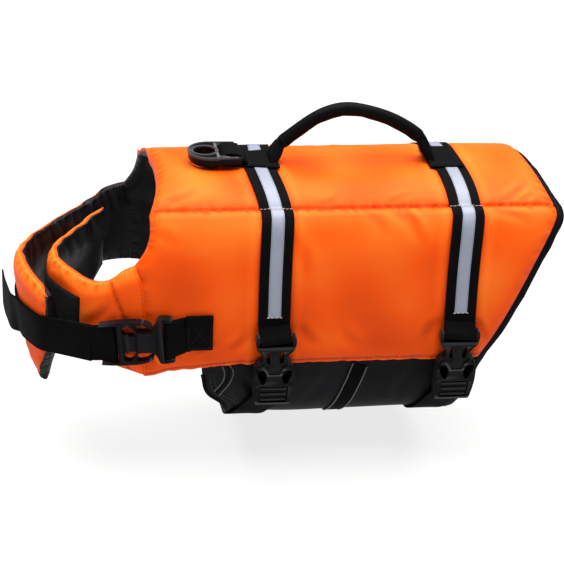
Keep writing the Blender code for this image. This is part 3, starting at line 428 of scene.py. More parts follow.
def bumped(paint, height, strength, distance, below=None):
    """Relief from a height, this many millimetres high, over the relief below it."""
    values = {"Strength": strength, "Distance": distance * MM, "Height": height}
    if below is not None:
        values["Normal"] = below
    relief = add_node(height.id_data, "ShaderNodeBump", values).outputs["Normal"]
    paint("Normal", relief)
    return relief


def gathers(first, second, pull):
    """Little folds that run in from a sewn edge: fine along it, long across it."""
    tree = first.id_data
    place = add_node(tree, "ShaderNodeCombineXYZ", {0: times(first, 210), 1: times(second, 42)}).outputs[0]
    folds = ranged(noise(place, 1, 2, 0.5), 0.32, 0.66, -1, 0)
    return times(folds, painted(tree, pull))


def coated_cloth(name, deep, plain, pale, rough, weave, shine):
    """Coated woven cloth: its painted shading follows the seams and folds, with painted shade in them and
    painted light on ridges and rims, then a fine weave and scuffs.
    """
    finish, tree, paint = new_finish(name, rough, shine)
    place = object_place(tree)
    _, u, v = cloth_axes(tree)
    painted_shading = painted(tree, "painted_shading")
    cloud = noise(place, 22, 3)
    gathered = plus(gathers(u, v, "pull_along"), gathers(v, u, "pull_across"))
    # The gathers' folds are painted darker too: painted shade in them, besides their relief.
    painted_shading = plus(painted_shading, times(gathered, 0.55))
    shaded = plus(painted_shading, ranged(cloud, 0.3, 0.7, -0.06, 0.06))
    # Painted shading: below zero the colour goes towards deep as painted shade, above zero towards pale as
    # painted light.
    darker = mixed(ranged(shaded, -1, 0, 1, 0), plain, deep)
    colour = mixed(ranged(shaded, 0, 1, 0, 1), darker, pale)
    threads = plain_weave(u, v, weave)
    colour = mixed(ranged(threads, 0, 1, 0.1, 0), colour, deep)
    paint("Base Color", colour)
    scuffs = noise(place, 160, 5, 0.7)
    paint("Roughness", ranged(scuffs, 0.3, 0.75, rough - 0.07, rough + 0.1))
    crumple = noise(place, 95, 4, 0.6)
    soft = bumped(paint, crumple, 0.35, 0.5)
    soft = bumped(paint, gathered, 1, 1.3, soft)
    bumped(paint, threads, 0.3, 0.1, soft)
    return finish


def webbing_finish(name, dark, light, rough=0.72):
    """Woven polyester webbing: chevron ribs, worn paler in places."""
    finish, tree, paint = new_finish(name, rough, 0.04)
    _, u, v = cloth_axes(tree)
    place = object_place(tree)
    turn = 2 * math.pi / (CHEVRON_PITCH * MM)
    bend = times(math_node("PINGPONG", v, CHEVRON_WIDE * MM), turn)
    wave = math_node("SINE", plus(times(u, turn), bend))
    ribs = ranged(wave, -1, 1, 0, 1)
    fibres = noise(place, 1500, 2)
    worn = noise(place, 70, 4)
    height = plus(ribs, times(fibres, 0.5))
    share = times(ribs, ranged(worn, 0.3, 0.7, 0.35, 1))
    paint("Base Color", mixed(share, dark, light))
    bumped(paint, height, 0.55, 0.22)
    return finish


def tape_finish():
    """Silver reflective tape with its beads and fine creases."""
    finish, tree, paint = new_finish("silver_tape", 0.42, 0.3, Metallic=0.12)
    uv = cloth_axes(tree)[0]
    place = object_place(tree)
    beads = add_node(tree, "ShaderNodeTexVoronoi", {"Vector": uv, "Scale": 3200}).outputs["Distance"]
    cloud = noise(place, 60, 4)
    colour = mixed(cloud, (0.19, 0.21, 0.28), (0.27, 0.29, 0.37))
    colour = mixed(ranged(beads, 0.2, 0.8, 0, 0.18), colour, (0.45, 0.47, 0.55))
    paint("Base Color", colour)
    creased = noise(place, 240, 4, 0.65)
    paint("Roughness", ranged(creased, 0.3, 0.7, 0.34, 0.52))
    soft = bumped(paint, creased, 0.25, 0.2)
    bumped(paint, beads, 0.12, 0.06, soft)
    return finish


def plastic_finish(name, colour, edge_highlight_colour, rough):
    """Moulded plastic: fine spark grain, and sharp edges painted a little lighter as a painted highlight.
    """
    finish, tree, paint = new_finish(name, rough, 0.055)
    place = object_place(tree)
    grain = noise(place, 2600, 2)
    smear = noise(place, 120, 4, 0.65)
    edges = add_node(tree, "ShaderNodeNewGeometry").outputs["Pointiness"]
    # Sharp edges take the lighter colour: a painted highlight.
    share = ranged(edges, 0.52, 0.6, 0, 0.9)
    paint("Base Color", mixed(share, colour, edge_highlight_colour))
    paint("Roughness", ranged(smear, 0.3, 0.7, rough - 0.08, rough + 0.1))
    bumped(paint, grain, 0.1, 0.05)
    return finish


def pile_finish():
    """Hook-and-loop pile: matt, uneven tufts."""
    finish, tree, paint = new_finish("loop_pile", 0.95, 0.05, Sheen_Weight=0.03)
    place = object_place(tree)
    tufts = add_node(tree, "ShaderNodeTexVoronoi", {"Vector": place, "Scale": 1300}).outputs["Distance"]
    fuzz = noise(place, 2400, 3)
    height = plus(tufts, fuzz)
    paint("Base Color", mixed(fuzz, (0.002, 0.002, 0.002), (0.010, 0.010, 0.011)))
    bumped(paint, height, 0.9, 0.5)
    return finish


def belly_finish():
    """Black belly cloth: closely woven in front, a dotted mesh behind."""
    finish, tree, paint = new_finish("belly_cloth_finish", 0.58, 0.09)
    uv, u, v = cloth_axes(tree)
    place = object_place(tree)
    holes = add_node(tree, "ShaderNodeTexVoronoi", {"Vector": uv, "Scale": 420, "Randomness": 0})
    open_part = painted(tree, "mesh_part")
    dots = ranged(holes.outputs["Distance"], 0.28, 0.4, 1, 0)
    dots = times(dots, open_part)
    threads = plain_weave(u, v, 0.5)
    cloud = noise(place, 40, 4)
    plain = mixed(cloud, (0.0025, 0.0025, 0.0035), (0.007, 0.007, 0.009))
    plain = mixed(times(threads, 0.35), plain, (0.011, 0.011, 0.014))
    paint("Base Color", mixed(dots, plain, (0.0015, 0.0015, 0.002)))
    crumple = noise(place, 90, 4, 0.6)
    soft = bumped(paint, crumple, 0.4, 0.5)
    height = math_node("SUBTRACT", times(threads, 0.25), dots)
    bumped(paint, height, 0.5, 0.25, soft)
    return finish


def thread_finish(name, dark, light):
    finish, tree, paint = new_finish(name, 0.6, 0.25)
    place = object_place(tree)
    twist = noise(place, 2200, 2)
    paint("Base Color", mixed(twist, dark, light))
    bumped(paint, twist, 0.3, 0.1)
    return finish


def make_finishes():
    return {
        # Each cloth: its colour in painted shade, its plain colour and its colour in painted light, then
        # roughness, weave pitch and shine.
        "orange": coated_cloth("orange_cloth_finish", (0.32, 0.012, 0.0008), (0.85, 0.085, 0.003),
                               (1, 0.27, 0.028), 0.5, 0.55, 0.07),
        "lining": coated_cloth("dark_lining", (0.0015, 0.0015, 0.002), (0.004, 0.0036, 0.0046),
                               (0.026, 0.025, 0.032), 0.44, 0.6, 0.15),
        "handle": coated_cloth("handle_cloth_finish", (0.001, 0.001, 0.0015),
                               (0.002, 0.002, 0.0024), (0.007, 0.007, 0.0085), 0.55, 0.7, 0.05),
        "webbing": webbing_finish("black_webbing_finish", (0.0008, 0.0008, 0.001),
                                  (0.0042, 0.0042, 0.0050)),
        "binding": webbing_finish("black_binding_finish", (0.002, 0.002, 0.0025),
                                  (0.0075, 0.0075, 0.009), 0.62),
        "tape": tape_finish(),
        "plastic": plastic_finish("black_moulding", (0.002, 0.002, 0.003), (0.060, 0.060, 0.066), 0.3),
        "ring": plastic_finish("ring_moulding_finish", (0.002, 0.002, 0.0025),
                               (0.014, 0.014, 0.016), 0.36),
        # The ring's raised rims: a lighter copy of its plastic, as a painted highlight.
        "ring_rim_painted_highlight": plastic_finish("ring_rim_painted_highlight_finish", (0.040, 0.040, 0.044), (0.13, 0.13, 0.135), 0.32),
        "pile": pile_finish(),
        "belly": belly_finish(),
        **{kind: thread_finish(kind, *look[4:]) for kind, look in THREAD_LOOKS.items()},
    }


# Curves and tables


def smooth_line(points, steps):
    """Dense points of a Catmull-Rom curve through the given ones."""
    p = np.array(points, float)
    p = np.vstack([2 * p[0] - p[1], p, 2 * p[-1] - p[-2]])
    t = (np.arange(steps) / steps)[:, None]
    rows = []
    for i in range(1, len(p) - 2):
        a, b, c, d = p[i - 1], p[i], p[i + 1], p[i + 2]
        rows.append(0.5 * (2 * b + (c - a) * t + (2 * a - 5 * b + 4 * c - d) * t * t
                           + (3 * b - a - 3 * c + d) * t ** 3))
    rows.append(p[-2:-1])
    return np.vstack(rows)


def lengths_along(line):
    return np.concatenate([[0], np.cumsum(np.linalg.norm(np.diff(line, axis=0), axis=1))])


def along(line, lengths, at):
    """Points of a line at these lengths from its start."""
    return np.stack([np.interp(at, lengths, line[:, k]) for k in range(line.shape[1])], axis=-1)


def table_value(table, at):
    """Value of the smooth curve through a table of (place, value) rows."""
    places, values = (np.array(column, float) for column in zip(*sorted(table)))
    slopes = np.gradient(values, places)
    at = np.clip(at, places[0], places[-1])
    k = np.clip(np.searchsorted(places, at, side="right") - 1, 0, len(places) - 2)
    gap = places[k + 1] - places[k]
    t = (at - places[k]) / gap
    straight = values[k] * (1 + 2 * t) * (1 - t) ** 2 + values[k + 1] * t * t * (3 - 2 * t)
    return straight + gap * (slopes[k] * t * (1 - t) ** 2 - slopes[k + 1] * t * t * (1 - t))


def unit(vectors):
    vectors = np.asarray(vectors, float)
    return vectors / np.linalg.norm(vectors, axis=-1)[..., None]


def point(*parts):
    """Points or directions from their coordinates, each a number or an array."""
    return np.stack(np.broadcast_arrays(*parts), axis=-1)


def run_of(path):
    """Unit directions along a line of points."""
    return unit(np.gradient(path, axis=0))


def square_to(run, vectors):
    """Unit vectors nearest to these that stand square to a line's run."""
    return unit(vectors - run * np.einsum("ij,ij->i", run, vectors)[:, None])


def ease(value, low, high):
    t = np.clip((value - low) / (high - low), 0, 1)
    return t * t * (3 - 2 * t)


def nearest(values, wanted):
    """Which of the values lies nearest to the wanted one."""
    return int(np.argmin(np.abs(values - wanted)))


def fade(value, low, high):
    return 1 - ease(value, low, high)


def hump(distance, width):
    return np.exp(-(distance / width) ** 2)


def roll(distance, width):
    """Share of the full foam thickness, this far from a pinched edge."""
    t = np.clip(distance / width, 0, 1)
    return np.sqrt(np.clip(1 - (1 - t) ** 2, 0, 1))


def cloth_places(length, first, last):
    """Places along a panel, close together on its rolled edges."""
    turn = np.linspace(0, 0.5 * math.pi, 11)
    start = first * (1 - np.cos(turn))
    end = length - last * (1 - np.cos(turn[::-1]))
    count = max(2, int(round((length - first - last) / CLOTH_STEP)))
    middle = np.linspace(first, length - last, count + 1)[1:-1]
    return np.concatenate([start, middle, end])


def wander(u, v, seed, size):
    """Smooth uneven values from about -1 to 1, for folds that no machine repeats."""
    dice = np.random.default_rng(seed)
    total = np.zeros(np.broadcast(u, v).shape)
    for _ in range(5):
        turn = dice.uniform(0, 2 * math.pi)
        wave = size * dice.uniform(0.6, 1.5)
        phase = dice.uniform(0, 2 * math.pi)
        total = total + np.sin(2 * math.pi * (u * math.cos(turn) + v * math.sin(turn)) / wave + phase)
    return total / 3


def puckers(place, away, total, seed, spacing, reach, depth):
    """Small uneven folds that run in from a sewn edge: place is along it, away is from it."""
    dice = np.random.default_rng(seed)
    result = np.zeros(np.broadcast(place, away).shape)
    at = dice.uniform(0, spacing)
    while at < total:
        width = dice.uniform(0.16, 0.34) * spacing
        long = dice.uniform(0.45, 1) * reach
        deep = dice.uniform(0.35, 1) * depth
        slant = dice.uniform(-0.45, 0.45)
        d = (place - at - slant * away) / width
        result -= deep * np.exp(-d * d) * fade(away, 0.15 * long, long)
        result += 0.45 * deep * np.exp(-(d - 1.7) ** 2) * fade(away, 0.1 * long, 0.8 * long)
        at += spacing * dice.uniform(0.55, 1.5)
    return result


def creases(u, v, strokes):
    """Listed folds: each from one place to another, with its width and depth."""
    result = np.zeros(np.broadcast(u, v).shape)
    for k, (u0, v0, u1, v1, width, depth) in enumerate(strokes):
        run = np.array([u1 - u0, v1 - v0], float)
        length = np.linalg.norm(run)
        run /= length
        s = (u - u0) * run[0] + (v - v0) * run[1]
        bow = 0.06 * length * np.sin(np.clip(s / length, 0, 1) * math.pi) * (1 if k % 2 else -1)
        d = (-(u - u0) * run[1] + (v - v0) * run[0] - bow) / width
        held = ease(s, -0.1 * length, 0.25 * length) * fade(s, 0.6 * length, 1.1 * length)
        result -= depth * np.exp(-d * d) * held
        result += 0.55 * depth * np.exp(-((np.abs(d) - 1.9) ** 2) / 0.9) * held
    return result


def groove(distance, width, depth):
    return -depth * hump(distance, width)


def grid_normals(points, outward):
    """Unit normals of a grid of points, turned to the side that outward gives."""
    normals = unit(np.cross(np.gradient(points, axis=0), np.gradient(points, axis=1)))
    facing = np.einsum("ijk,ijk->ij", normals, outward(points))
    return normals * np.where(facing < 0, -1, 1)[:, :, None]


# Meshes


def link_piece(name, mesh):
    piece = bpy.data.objects.new(name, mesh)
    bpy.context.scene.collection.objects.link(piece)
    return piece


def plain_mesh(source):
    """The mesh that an object comes out as. The object itself is thrown away."""
    graph = bpy.context.evaluated_depsgraph_get()
    mesh = bpy.data.meshes.new_from_object(source.evaluated_get(graph))
    bpy.data.objects.remove(source, do_unlink=True)
    return mesh


def mesh_piece(name, points, faces, finishes, face_finish=None, uvs=None, painted_shadings=None, extra=None):
    """A piece from points in millimetres, with its finishes, cloth UV map and painted shading (painted
    light above zero, painted shade below).
    """
    mesh = bpy.data.meshes.new(name)
    points = np.asarray(points, float)
    mesh.from_pydata((points * MM).tolist(), [], faces)
    if uvs is not None:
        layer = mesh.uv_layers.new(name="cloth")
        corners = np.zeros(len(mesh.loops), np.int32)
        mesh.loops.foreach_get("vertex_index", corners)
        layer.data.foreach_set("uv", (np.asarray(uvs, float)[corners] * MM).astype(np.float32).ravel())
    values = {key: np.zeros(len(points)) for key in ("painted_shading", "pull_along", "pull_across")}
    if painted_shadings is not None:
        values["painted_shading"] = painted_shadings
    values.update(extra or {})
    for key, value in values.items():
        mesh.attributes.new(key, "FLOAT", "POINT").data.foreach_set("value", np.asarray(value, np.float32))
    for finish in finishes:
        mesh.materials.append(FINISHES[finish])
    if face_finish is not None:
        mesh.polygons.foreach_set("material_index", np.asarray(face_finish, np.int32))
    work = bmesh.new()
    work.from_mesh(mesh)
    bmesh.ops.recalc_face_normals(work, faces=work.faces)
    work.to_mesh(mesh)
    work.free()
    mesh.shade_smooth()
    return link_piece(name, mesh)


def grid_faces(rows, columns, start, flip=False):
    faces = []
    for i in range(rows - 1):
        for j in range(columns - 1):
            a = start + i * columns + j
            quad = (a, a + columns, a + columns + 1, a + 1)
            faces.append(quad[::-1] if flip else quad)
    return faces


def tube_faces(rings, wide, closed=False):
    """Faces of a tube of rings, each this many points wide, its last joined to its first if closed."""
    return [(i * wide + j, (i + 1) % rings * wide + j, (i + 1) % rings * wide + (j + 1) % wide,
             i * wide + (j + 1) % wide) for i in range(rings if closed else rings - 1) for j in range(wide)]


def padded_shell(name, outer, inner, uv, painted_shading_out, painted_shading_in, finishes, bulge, cover=0.55, extra=None,
                 dark_end=False, dark_start=None):
    """A sewn panel: its outer cloth, its lining, and a rounded edge between them.
    bulge is how far the edge stands out at the first row, last row, first and last column, and
    cover is the share of the edge in the outer finish. With dark_end the last row's edge and its
    fold are in the inner finish, and dark_start says the same of each place on the first row."""
    rows, columns = outer.shape[:2]
    count = rows * columns
    rim = [(i, 0) for i in range(rows)] + [(rows - 1, j) for j in range(1, columns)]
    rim += [(i, columns - 1) for i in range(rows - 2, -1, -1)] + [(0, j) for j in range(columns - 2, 0, -1)]
    ri, rj = np.array(rim).T
    middle = 0.5 * (outer + inner)
    inside = middle[np.clip(ri, 1, rows - 2), np.clip(rj, 1, columns - 2)]
    away = unit(middle[ri, rj] - inside)
    out = np.full(len(rim), 9.0)
    for hit, value in zip((ri == 0, ri == rows - 1, rj == 0, rj == columns - 1), bulge):
        out[hit] = np.minimum(out[hit], value)
    points = [outer.reshape(-1, 3), inner.reshape(-1, 3)]
    uvs = [uv.reshape(-1, 2)] * 2
    painted_shadings = [painted_shading_out.ravel(), painted_shading_in.ravel()]
    shares = (0.2, 0.4, 0.6, 0.8)
    for share in shares:
        lift = out * math.sin(math.pi * share)
        points.append(outer[ri, rj] * (1 - share) + inner[ri, rj] * share + away * lift[:, None])
        uvs.append(uv[ri, rj] + share * PINCH)
        # The rounded edge is painted a little lighter: painted light.
        painted_shadings.append(np.full(len(rim), 0.1))
    dark = (ri == rows - 1) & dark_end
    if dark_start is not None:
        dark = dark | ((ri == 0) & dark_start[rj])
    faces = grid_faces(rows, columns, 0) + grid_faces(rows, columns, count, True)
    cells = (rows - 1) * (columns - 1)
    folded = cells - END_FOLD_ROWS * (columns - 1) if dark_end else cells
    which = [0] * folded + [1] * (2 * cells - folded)
    wide = len(rim)
    outer_rim = ri * columns + rj
    loops = [outer_rim] + [2 * count + k * wide + np.arange(wide) for k in range(len(shares))]
    loops.append(outer_rim + count)
    for k in range(len(loops) - 1):
        a, b = loops[k].tolist(), loops[k + 1].tolist()
        for m in range(wide):
            n = (m + 1) % wide
            faces.append((a[n], a[m], b[m], b[n]))
            orange = (k + 0.5) / (len(loops) - 1) < cover and not (dark[m] and dark[n])
            which.append(0 if orange else 1)
    extras = {key: np.concatenate([value.ravel(), value.ravel()] + [value[ri, rj]] * len(shares))
              for key, value in (extra or {}).items()}
    return mesh_piece(name, np.vstack(points), faces, finishes, which, np.vstack(uvs),
                      np.concatenate(painted_shadings), extras)


# Geometry node trees: woven strips along a path, and stitches along a path


def tree_with(name, inputs):
    tree = bpy.data.node_groups.new(name, "GeometryNodeTree")
    tree.interface.new_socket("Geometry", in_out="INPUT", socket_type="NodeSocketGeometry")
    tree.interface.new_socket("Geometry", in_out="OUTPUT", socket_type="NodeSocketGeometry")
    for label, kind in inputs:
        tree.interface.new_socket(label, in_out="INPUT", socket_type="NodeSocket" + kind)
    return tree, tree.nodes.new("NodeGroupInput").outputs, tree.nodes.new("NodeGroupOutput").inputs


def geo(tree, kind, settings=(), out=0, **values):
    """A geometry node's output, its inputs given by name with underscores for spaces."""
    named = {key.replace("_", " "): value for key, value in values.items()}
    return add_node(tree, "GeometryNode" + kind, named, **dict(settings)).outputs[out]


def outward(tree):
    """The outward normal that a path's points hold."""
    return geo(tree, "InputNamedAttribute", {"data_type": "FLOAT_VECTOR"}, "Attribute", Name="out")


def finished(tree, result, shape, finish, smooth=False):
    """Ends a tree with one plain mesh in its finish."""
    shape = geo(tree, "RealizeInstances", Geometry=shape)
    if smooth:
        shape = geo(tree, "SetShadeSmooth", Geometry=shape)
    tree.links.new(geo(tree, "SetMaterial", Geometry=shape, Material=finish), result["Geometry"])
    return tree


def woven_strip_tree():
    """Sweeps a flat strip with soft edges along a path, with its ribs and its cloth map."""
    tree, given, result = tree_with("woven_strip", (
        ("Width", "Float"), ("Thickness", "Float"), ("Rib Pitch", "Float"), ("Rib Depth", "Float"),
        ("Finish", "Material")))
    number, place = {"data_type": "FLOAT"}, {"data_type": "FLOAT", "domain": "POINT"}
    line = geo(tree, "MeshToCurve", Mesh=given["Geometry"])
    step = times(given["Rib Pitch"], 0.34)
    line = geo(tree, "ResampleCurve", {"mode": "LENGTH"}, Curve=line, Length=step)
    line = geo(tree, "SetCurveNormal", {"mode": "FREE"}, Curve=line, Normal=outward(tree))
    run = geo(tree, "SplineParameter", (), "Length")
    line = geo(tree, "StoreNamedAttribute", place, Geometry=line, Name="run", Value=run)
    flat = geo(tree, "CurvePrimitiveQuadrilateral", {"mode": "RECTANGLE"}, Width=given["Thickness"],
               Height=given["Width"])
    round_off = times(given["Thickness"], 0.45)
    flat = geo(tree, "FilletCurve", {"mode": "POLY"}, Curve=flat, Radius=round_off, Count=3)
    flat = geo(tree, "SubdivideCurve", Curve=flat, Cuts=2)
    aside = add_node(tree, "ShaderNodeSeparateXYZ", {0: geo(tree, "InputPosition")}).outputs["Y"]
    flat = geo(tree, "StoreNamedAttribute", place, Geometry=flat, Name="across", Value=aside)
    strip = geo(tree, "CurveToMesh", Curve=line, Profile_Curve=flat, Fill_Caps=True)
    u, v = (geo(tree, "InputNamedAttribute", number, "Attribute", Name=name) for name in ("run", "across"))
    wave = math_node("SINE", times(math_node("DIVIDE", u, given["Rib Pitch"]), 2 * math.pi))
    lift = {0: geo(tree, "InputNormal"), "Scale": times(wave, given["Rib Depth"])}
    lift = add_node(tree, "ShaderNodeVectorMath", lift, operation="SCALE").outputs[0]
    strip = geo(tree, "SetPosition", Geometry=strip, Offset=lift)
    both = add_node(tree, "ShaderNodeCombineXYZ", {0: u, 1: v}).outputs[0]
    strip = geo(tree, "StoreNamedAttribute", {"data_type": "FLOAT2", "domain": "CORNER"}, Geometry=strip,
                Name="cloth", Value=both)
    return finished(tree, result, strip, given["Finish"])


def stitch_tree():
    """Lays one thread stitch after another along each path, standing on the cloth."""
    tree, given, result = tree_with("stitches", (
        ("Pitch", "Float"), ("Stitch Length", "Float"), ("Thread", "Float"), ("Seed", "Int"),
        ("Finish", "Material")))
    line = geo(tree, "MeshToCurve", Mesh=given["Geometry"])
    line = geo(tree, "ResampleCurve", {"mode": "LENGTH"}, Curve=line, Length=given["Pitch"])
    axes = {"Primary Axis": outward(tree), "Secondary Axis": geo(tree, "InputTangent")}
    turn = add_node(tree, "FunctionNodeAxesToRotation", axes, primary_axis="Z", secondary_axis="X")
    thread = geo(tree, "MeshUVSphere", (), "Mesh", Segments=6, Rings=4, Radius=0.5)
    uneven = add_node(tree, "FunctionNodeRandomValue", {"Min": 0.82, "Max": 1.06, "Seed": given["Seed"]},
                      data_type="FLOAT")
    # a float random value has its own numbered sockets
    size = {0: times(given["Stitch Length"], uneven.outputs[1]), 1: given["Thread"], 2: given["Thread"]}
    size = add_node(tree, "ShaderNodeCombineXYZ", size).outputs[0]
    laid = geo(tree, "InstanceOnPoints", Points=line, Instance=thread, Rotation=turn.outputs[0], Scale=size)
    return finished(tree, result, laid, given["Finish"], True)


def grown(name, lines, tree, values):
    """Runs a tree on paths of (points, outward normals) and keeps the plain mesh."""
    points = np.vstack([np.asarray(p, float) for p, n in lines])
    normals = np.vstack([unit(n) for p, n in lines])
    edges, start = [], 0
    for p, n in lines:
        edges += [(start + k, start + k + 1) for k in range(len(p) - 1)]
        start += len(p)
    mesh = bpy.data.meshes.new(name + "_path")
    mesh.from_pydata((points * MM).tolist(), edges, [])
    mesh.attributes.new("out", "FLOAT_VECTOR", "POINT").data.foreach_set(
        "vector", normals.astype(np.float32).ravel())
    source = link_piece(name + "_path", mesh)
    maker = source.modifiers.new("maker", "NODES")
    maker.node_group = tree
    names = {item.name: item.identifier for item in tree.interface.items_tree if item.in_out == "INPUT"}
    for label, value in values.items():
        maker[names[label]] = value
    made = plain_mesh(source)
    bpy.data.meshes.remove(mesh)
    made.name = name
    return link_piece(name, made)


def even_path(path, normals):
    """A smooth path through the points, evenly spaced, with its normals squared to it."""
    path, normals = smooth_line(path, 8), unit(smooth_line(normals, 8))
    lengths = lengths_along(path)
    at = np.linspace(0, lengths[-1], max(3, int(lengths[-1] / STRIP_STEP) + 1))
    path, normals = along(path, lengths, at), along(normals, lengths, at)
    run = run_of(path)
    return path, square_to(run, normals)


def place_piece(piece, slot, *nodes, body="jacket"):
    """Puts a piece on the body that it rides and hides the nodes that it stands in for. slot is not used.
    """
    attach(piece, body)
    if nodes:
        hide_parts(*nodes)
    return piece


def webbing(name, nodes, path, normals, width, thick=WEB_THICK, finish="webbing", pitch=2, depth=0.05,
            slot="black_webbing"):
    """A woven strip whose middle follows the path, in place of these nodes."""
    strip = grown(name, [even_path(path, normals)], STRIP_TREE, {
        "Width": width * MM, "Thickness": thick * MM, "Rib Pitch": pitch * MM, "Rib Depth": depth * MM,
        "Finish": FINISHES[finish]})
    place_piece(strip, slot, *nodes)


THREADS = {kind: [] for kind in THREAD_LOOKS}


def sew(kind, points, normals, lift=0.05):
    """Keeps a line of stitches, this far off the cloth, for lay_threads."""
    points, normals = np.asarray(points, float), unit(normals)
    THREADS[kind].append((points + lift * normals, normals))


# Sections of the garment

SIDE_LINE = smooth_line(SIDE_CURVE, 40)
SIDE_LENGTH = lengths_along(SIDE_LINE)


def side_section(length):
    """Point and outward normal (|y|, z) of the side's outer face, this far below the seam."""
    length = np.asarray(length, float)
    at = along(SIDE_LINE, SIDE_LENGTH, length)
    run = unit(along(SIDE_LINE, SIDE_LENGTH, length + 2) - along(SIDE_LINE, SIDE_LENGTH, length - 2))
    return at, point(-run[..., 1], run[..., 0])


def side_length_at(z):
    return np.interp(-np.asarray(z, float), -SIDE_LINE[:, 1], SIDE_LENGTH)


def side_half_width(z):
    return np.interp(-np.asarray(z, float), -SIDE_LINE[:, 1], SIDE_LINE[:, 0])


def side_thickness(length, hem_length):
    seam = np.linalg.norm(SEAM_OUT - SEAM_IN)
    thick = seam + (FOAM - seam) * roll(length, ROLL_SEAM)
    return PINCH + (thick - PINCH) * roll(hem_length - length, ROLL_HEM)


def side_point(length, hem_length, puff=1):
    """Outer and inner point (|y|, z) of a side panel, and its outward normal."""
    at, normal = side_section(length)
    under = at - FOAM * normal
    seam = fade(length, 0, 1.5)[..., None]
    under = under * (1 - seam) + (SEAM_IN - 0.1 * SEAM_RUN) * seam
    normal = unit(normal * (1 - seam) + (SEAM_OUT - SEAM_IN) / np.linalg.norm(SEAM_OUT - SEAM_IN) * seam)
    thick = PINCH + (side_thickness(length, hem_length) - PINCH) * puff
    return under + thick[..., None] * normal, under, normal


def back_outer(share):
    share = np.asarray(share, float)
    edge = SEAM_OUT
    rise = CREST - edge[1]
    return point(share * edge[0], edge[1] + rise * (1 - np.abs(share) ** 3) ** 0.7)


def back_inner(share):
    share = np.asarray(share, float)
    return point(share * SEAM_IN[0], SEAM_IN[1] * np.abs(share) ** 2.2)


def back_front_edge(share):
    return BACK_FRONT_SEAM + (BACK_FRONT_MIDDLE - BACK_FRONT_SEAM) * (1 - np.abs(share) ** 2.5)


def back_rear_edge(share):
    return BACK_REAR_MIDDLE + (BACK_REAR_SEAM - BACK_REAR_MIDDLE) * np.abs(share) ** 4


def strap_x(y, z, crest, seam, side):
    """x of a girth strap's middle across the back, or at this height down the side."""
    share = np.clip(np.abs(y) / SEAM_OUT[0], 0, 1)
    down = np.clip((SEAM_OUT[1] - z) / 60, 0, 1)
    over = crest + (seam - crest) * share ** 2
    return np.where(z > SEAM_OUT[1] - 4, over, seam + (side - seam) * (1 - (1 - down) ** 2))


def strap_press(x, y, z):
    """How the girth straps press into the foam, and the soft rise beside them."""
    total = np.zeros(np.shape(x))
    for _, crest, seam, side in GIRTH_STRAPS:
        d = np.abs(x - strap_x(y, z, crest, seam, side))
        total -= 0.7 * fade(d, 0.42 * GIRTH_WEB, 0.5 * GIRTH_WEB + 4)
        total += 0.45 * hump(d - 0.5 * GIRTH_WEB - 6, 3.5)
    return total


# Back panel


def make_back():
    shares = np.linspace(-1, 1, 2001)
    arc = lengths_along(back_outer(shares))
    total = arc[-1]
    across = cloth_places(total, 8, 8)
    share = np.interp(across, arc, shares)
    length = BACK_REAR_MIDDLE - BACK_FRONT_SEAM
    place = cloth_places(length, ROLL_ENDS, ROLL_ENDS) / length
    start, end = back_front_edge(share)[None, :], back_rear_edge(share)[None, :]
    x = start + (end - start) * place[:, None]
    top, under = (np.broadcast_to(face(share), x.shape + (2,)) for face in (back_outer, back_inner))
    full = np.linalg.norm(top - under, axis=-1)
    puff = roll(x - start, ROLL_ENDS) * roll(end - x, ROLL_ENDS)
    thin = np.minimum(1, PINCH / full)
    lift = SHOULDER_SEAM * (1 - thin) * (1 - roll(x - start, ROLL_ENDS)) * ease(share, 0.45, 0.8)
    at = under + (top - under) * np.maximum(thin + (1 - thin) * puff, thin + lift)[..., None]
    under = under + (top - under) * lift[..., None]
    outer = point(x, at[..., 0], at[..., 1])
    inner = point(x, under[..., 0], under[..., 1])
    normals = grid_normals(outer, lambda p: np.broadcast_to((0, 0, 1), p.shape))
    v = np.broadcast_to(across, x.shape)
    inside = ease(x - start, 2, 16) * ease(end - x, 2, 16)
    seam_line = np.minimum(v, total - v)
    field = 0.5 * wander(x, v, 3, 75) * inside * ease(seam_line, 4, 22)
    field += puckers(x + 180, v, 330, 11, 9, 15, 0.75)
    field += puckers(x + 180, total - v, 330, 12, 10, 13, 0.6)
    field += puckers(v, x - start, total, 13, 12, 12, 0.6)
    field += puckers(v, end - x, total, 14, 10, 16, 0.7)
    field += creases(x, v, BACK_CREASES)
    field += strap_press(x, at[..., 0], at[..., 1]) * ease(seam_line, 0, 8)
    field += groove(seam_line - BACK_STITCH, 0.9, 0.55)
    field *= ease(x - start, 0, 3) * ease(end - x, 0, 3)
    outer = outer + normals * field[..., None]
    quilt = 0.8 * wander(x, v, 5, 40) * inside * ease(seam_line, 1, 16)
    inner = inner + point(0, 0, -0.6 * np.abs(quilt))
    pulls = {"pull_along": (0.25 + 0.5 * ease(x, -120, 60)) * fade(seam_line, 0.5, 6),
             "pull_across": 0.5 * fade(np.minimum(x - start, end - x), 1, 8)}
    # Painted shading: fold ridges lighter and hollows darker, painted shade along and beside the seams,
    # painted light towards the front and rear ends; the lining painted lighter and darker over its
    # quilting.
    painted_shading = np.clip(field * 0.35, -0.6, 0.5) - 0.28 * fade(seam_line, 0, 3)
    painted_shading = painted_shading - 0.14 * fade(seam_line, 3, 14) + 0.1 + 0.1 * ease(np.abs(x + 10), 60, 140)
    piece = padded_shell("back_padding", outer, inner, point(x, v), painted_shading, 0.4 * quilt, ("orange", "lining"),
                         (0.9, 0.4, 0.15, 0.15), cover=0.8, extra=pulls)
    place_piece(piece, "orange_cloth", "back_panel")
    for column in (BACK_STITCH, total - BACK_STITCH):
        j = nearest(across, column)
        sew("orange_thread", outer[6:-6, j], normals[6:-6, j], -0.05)


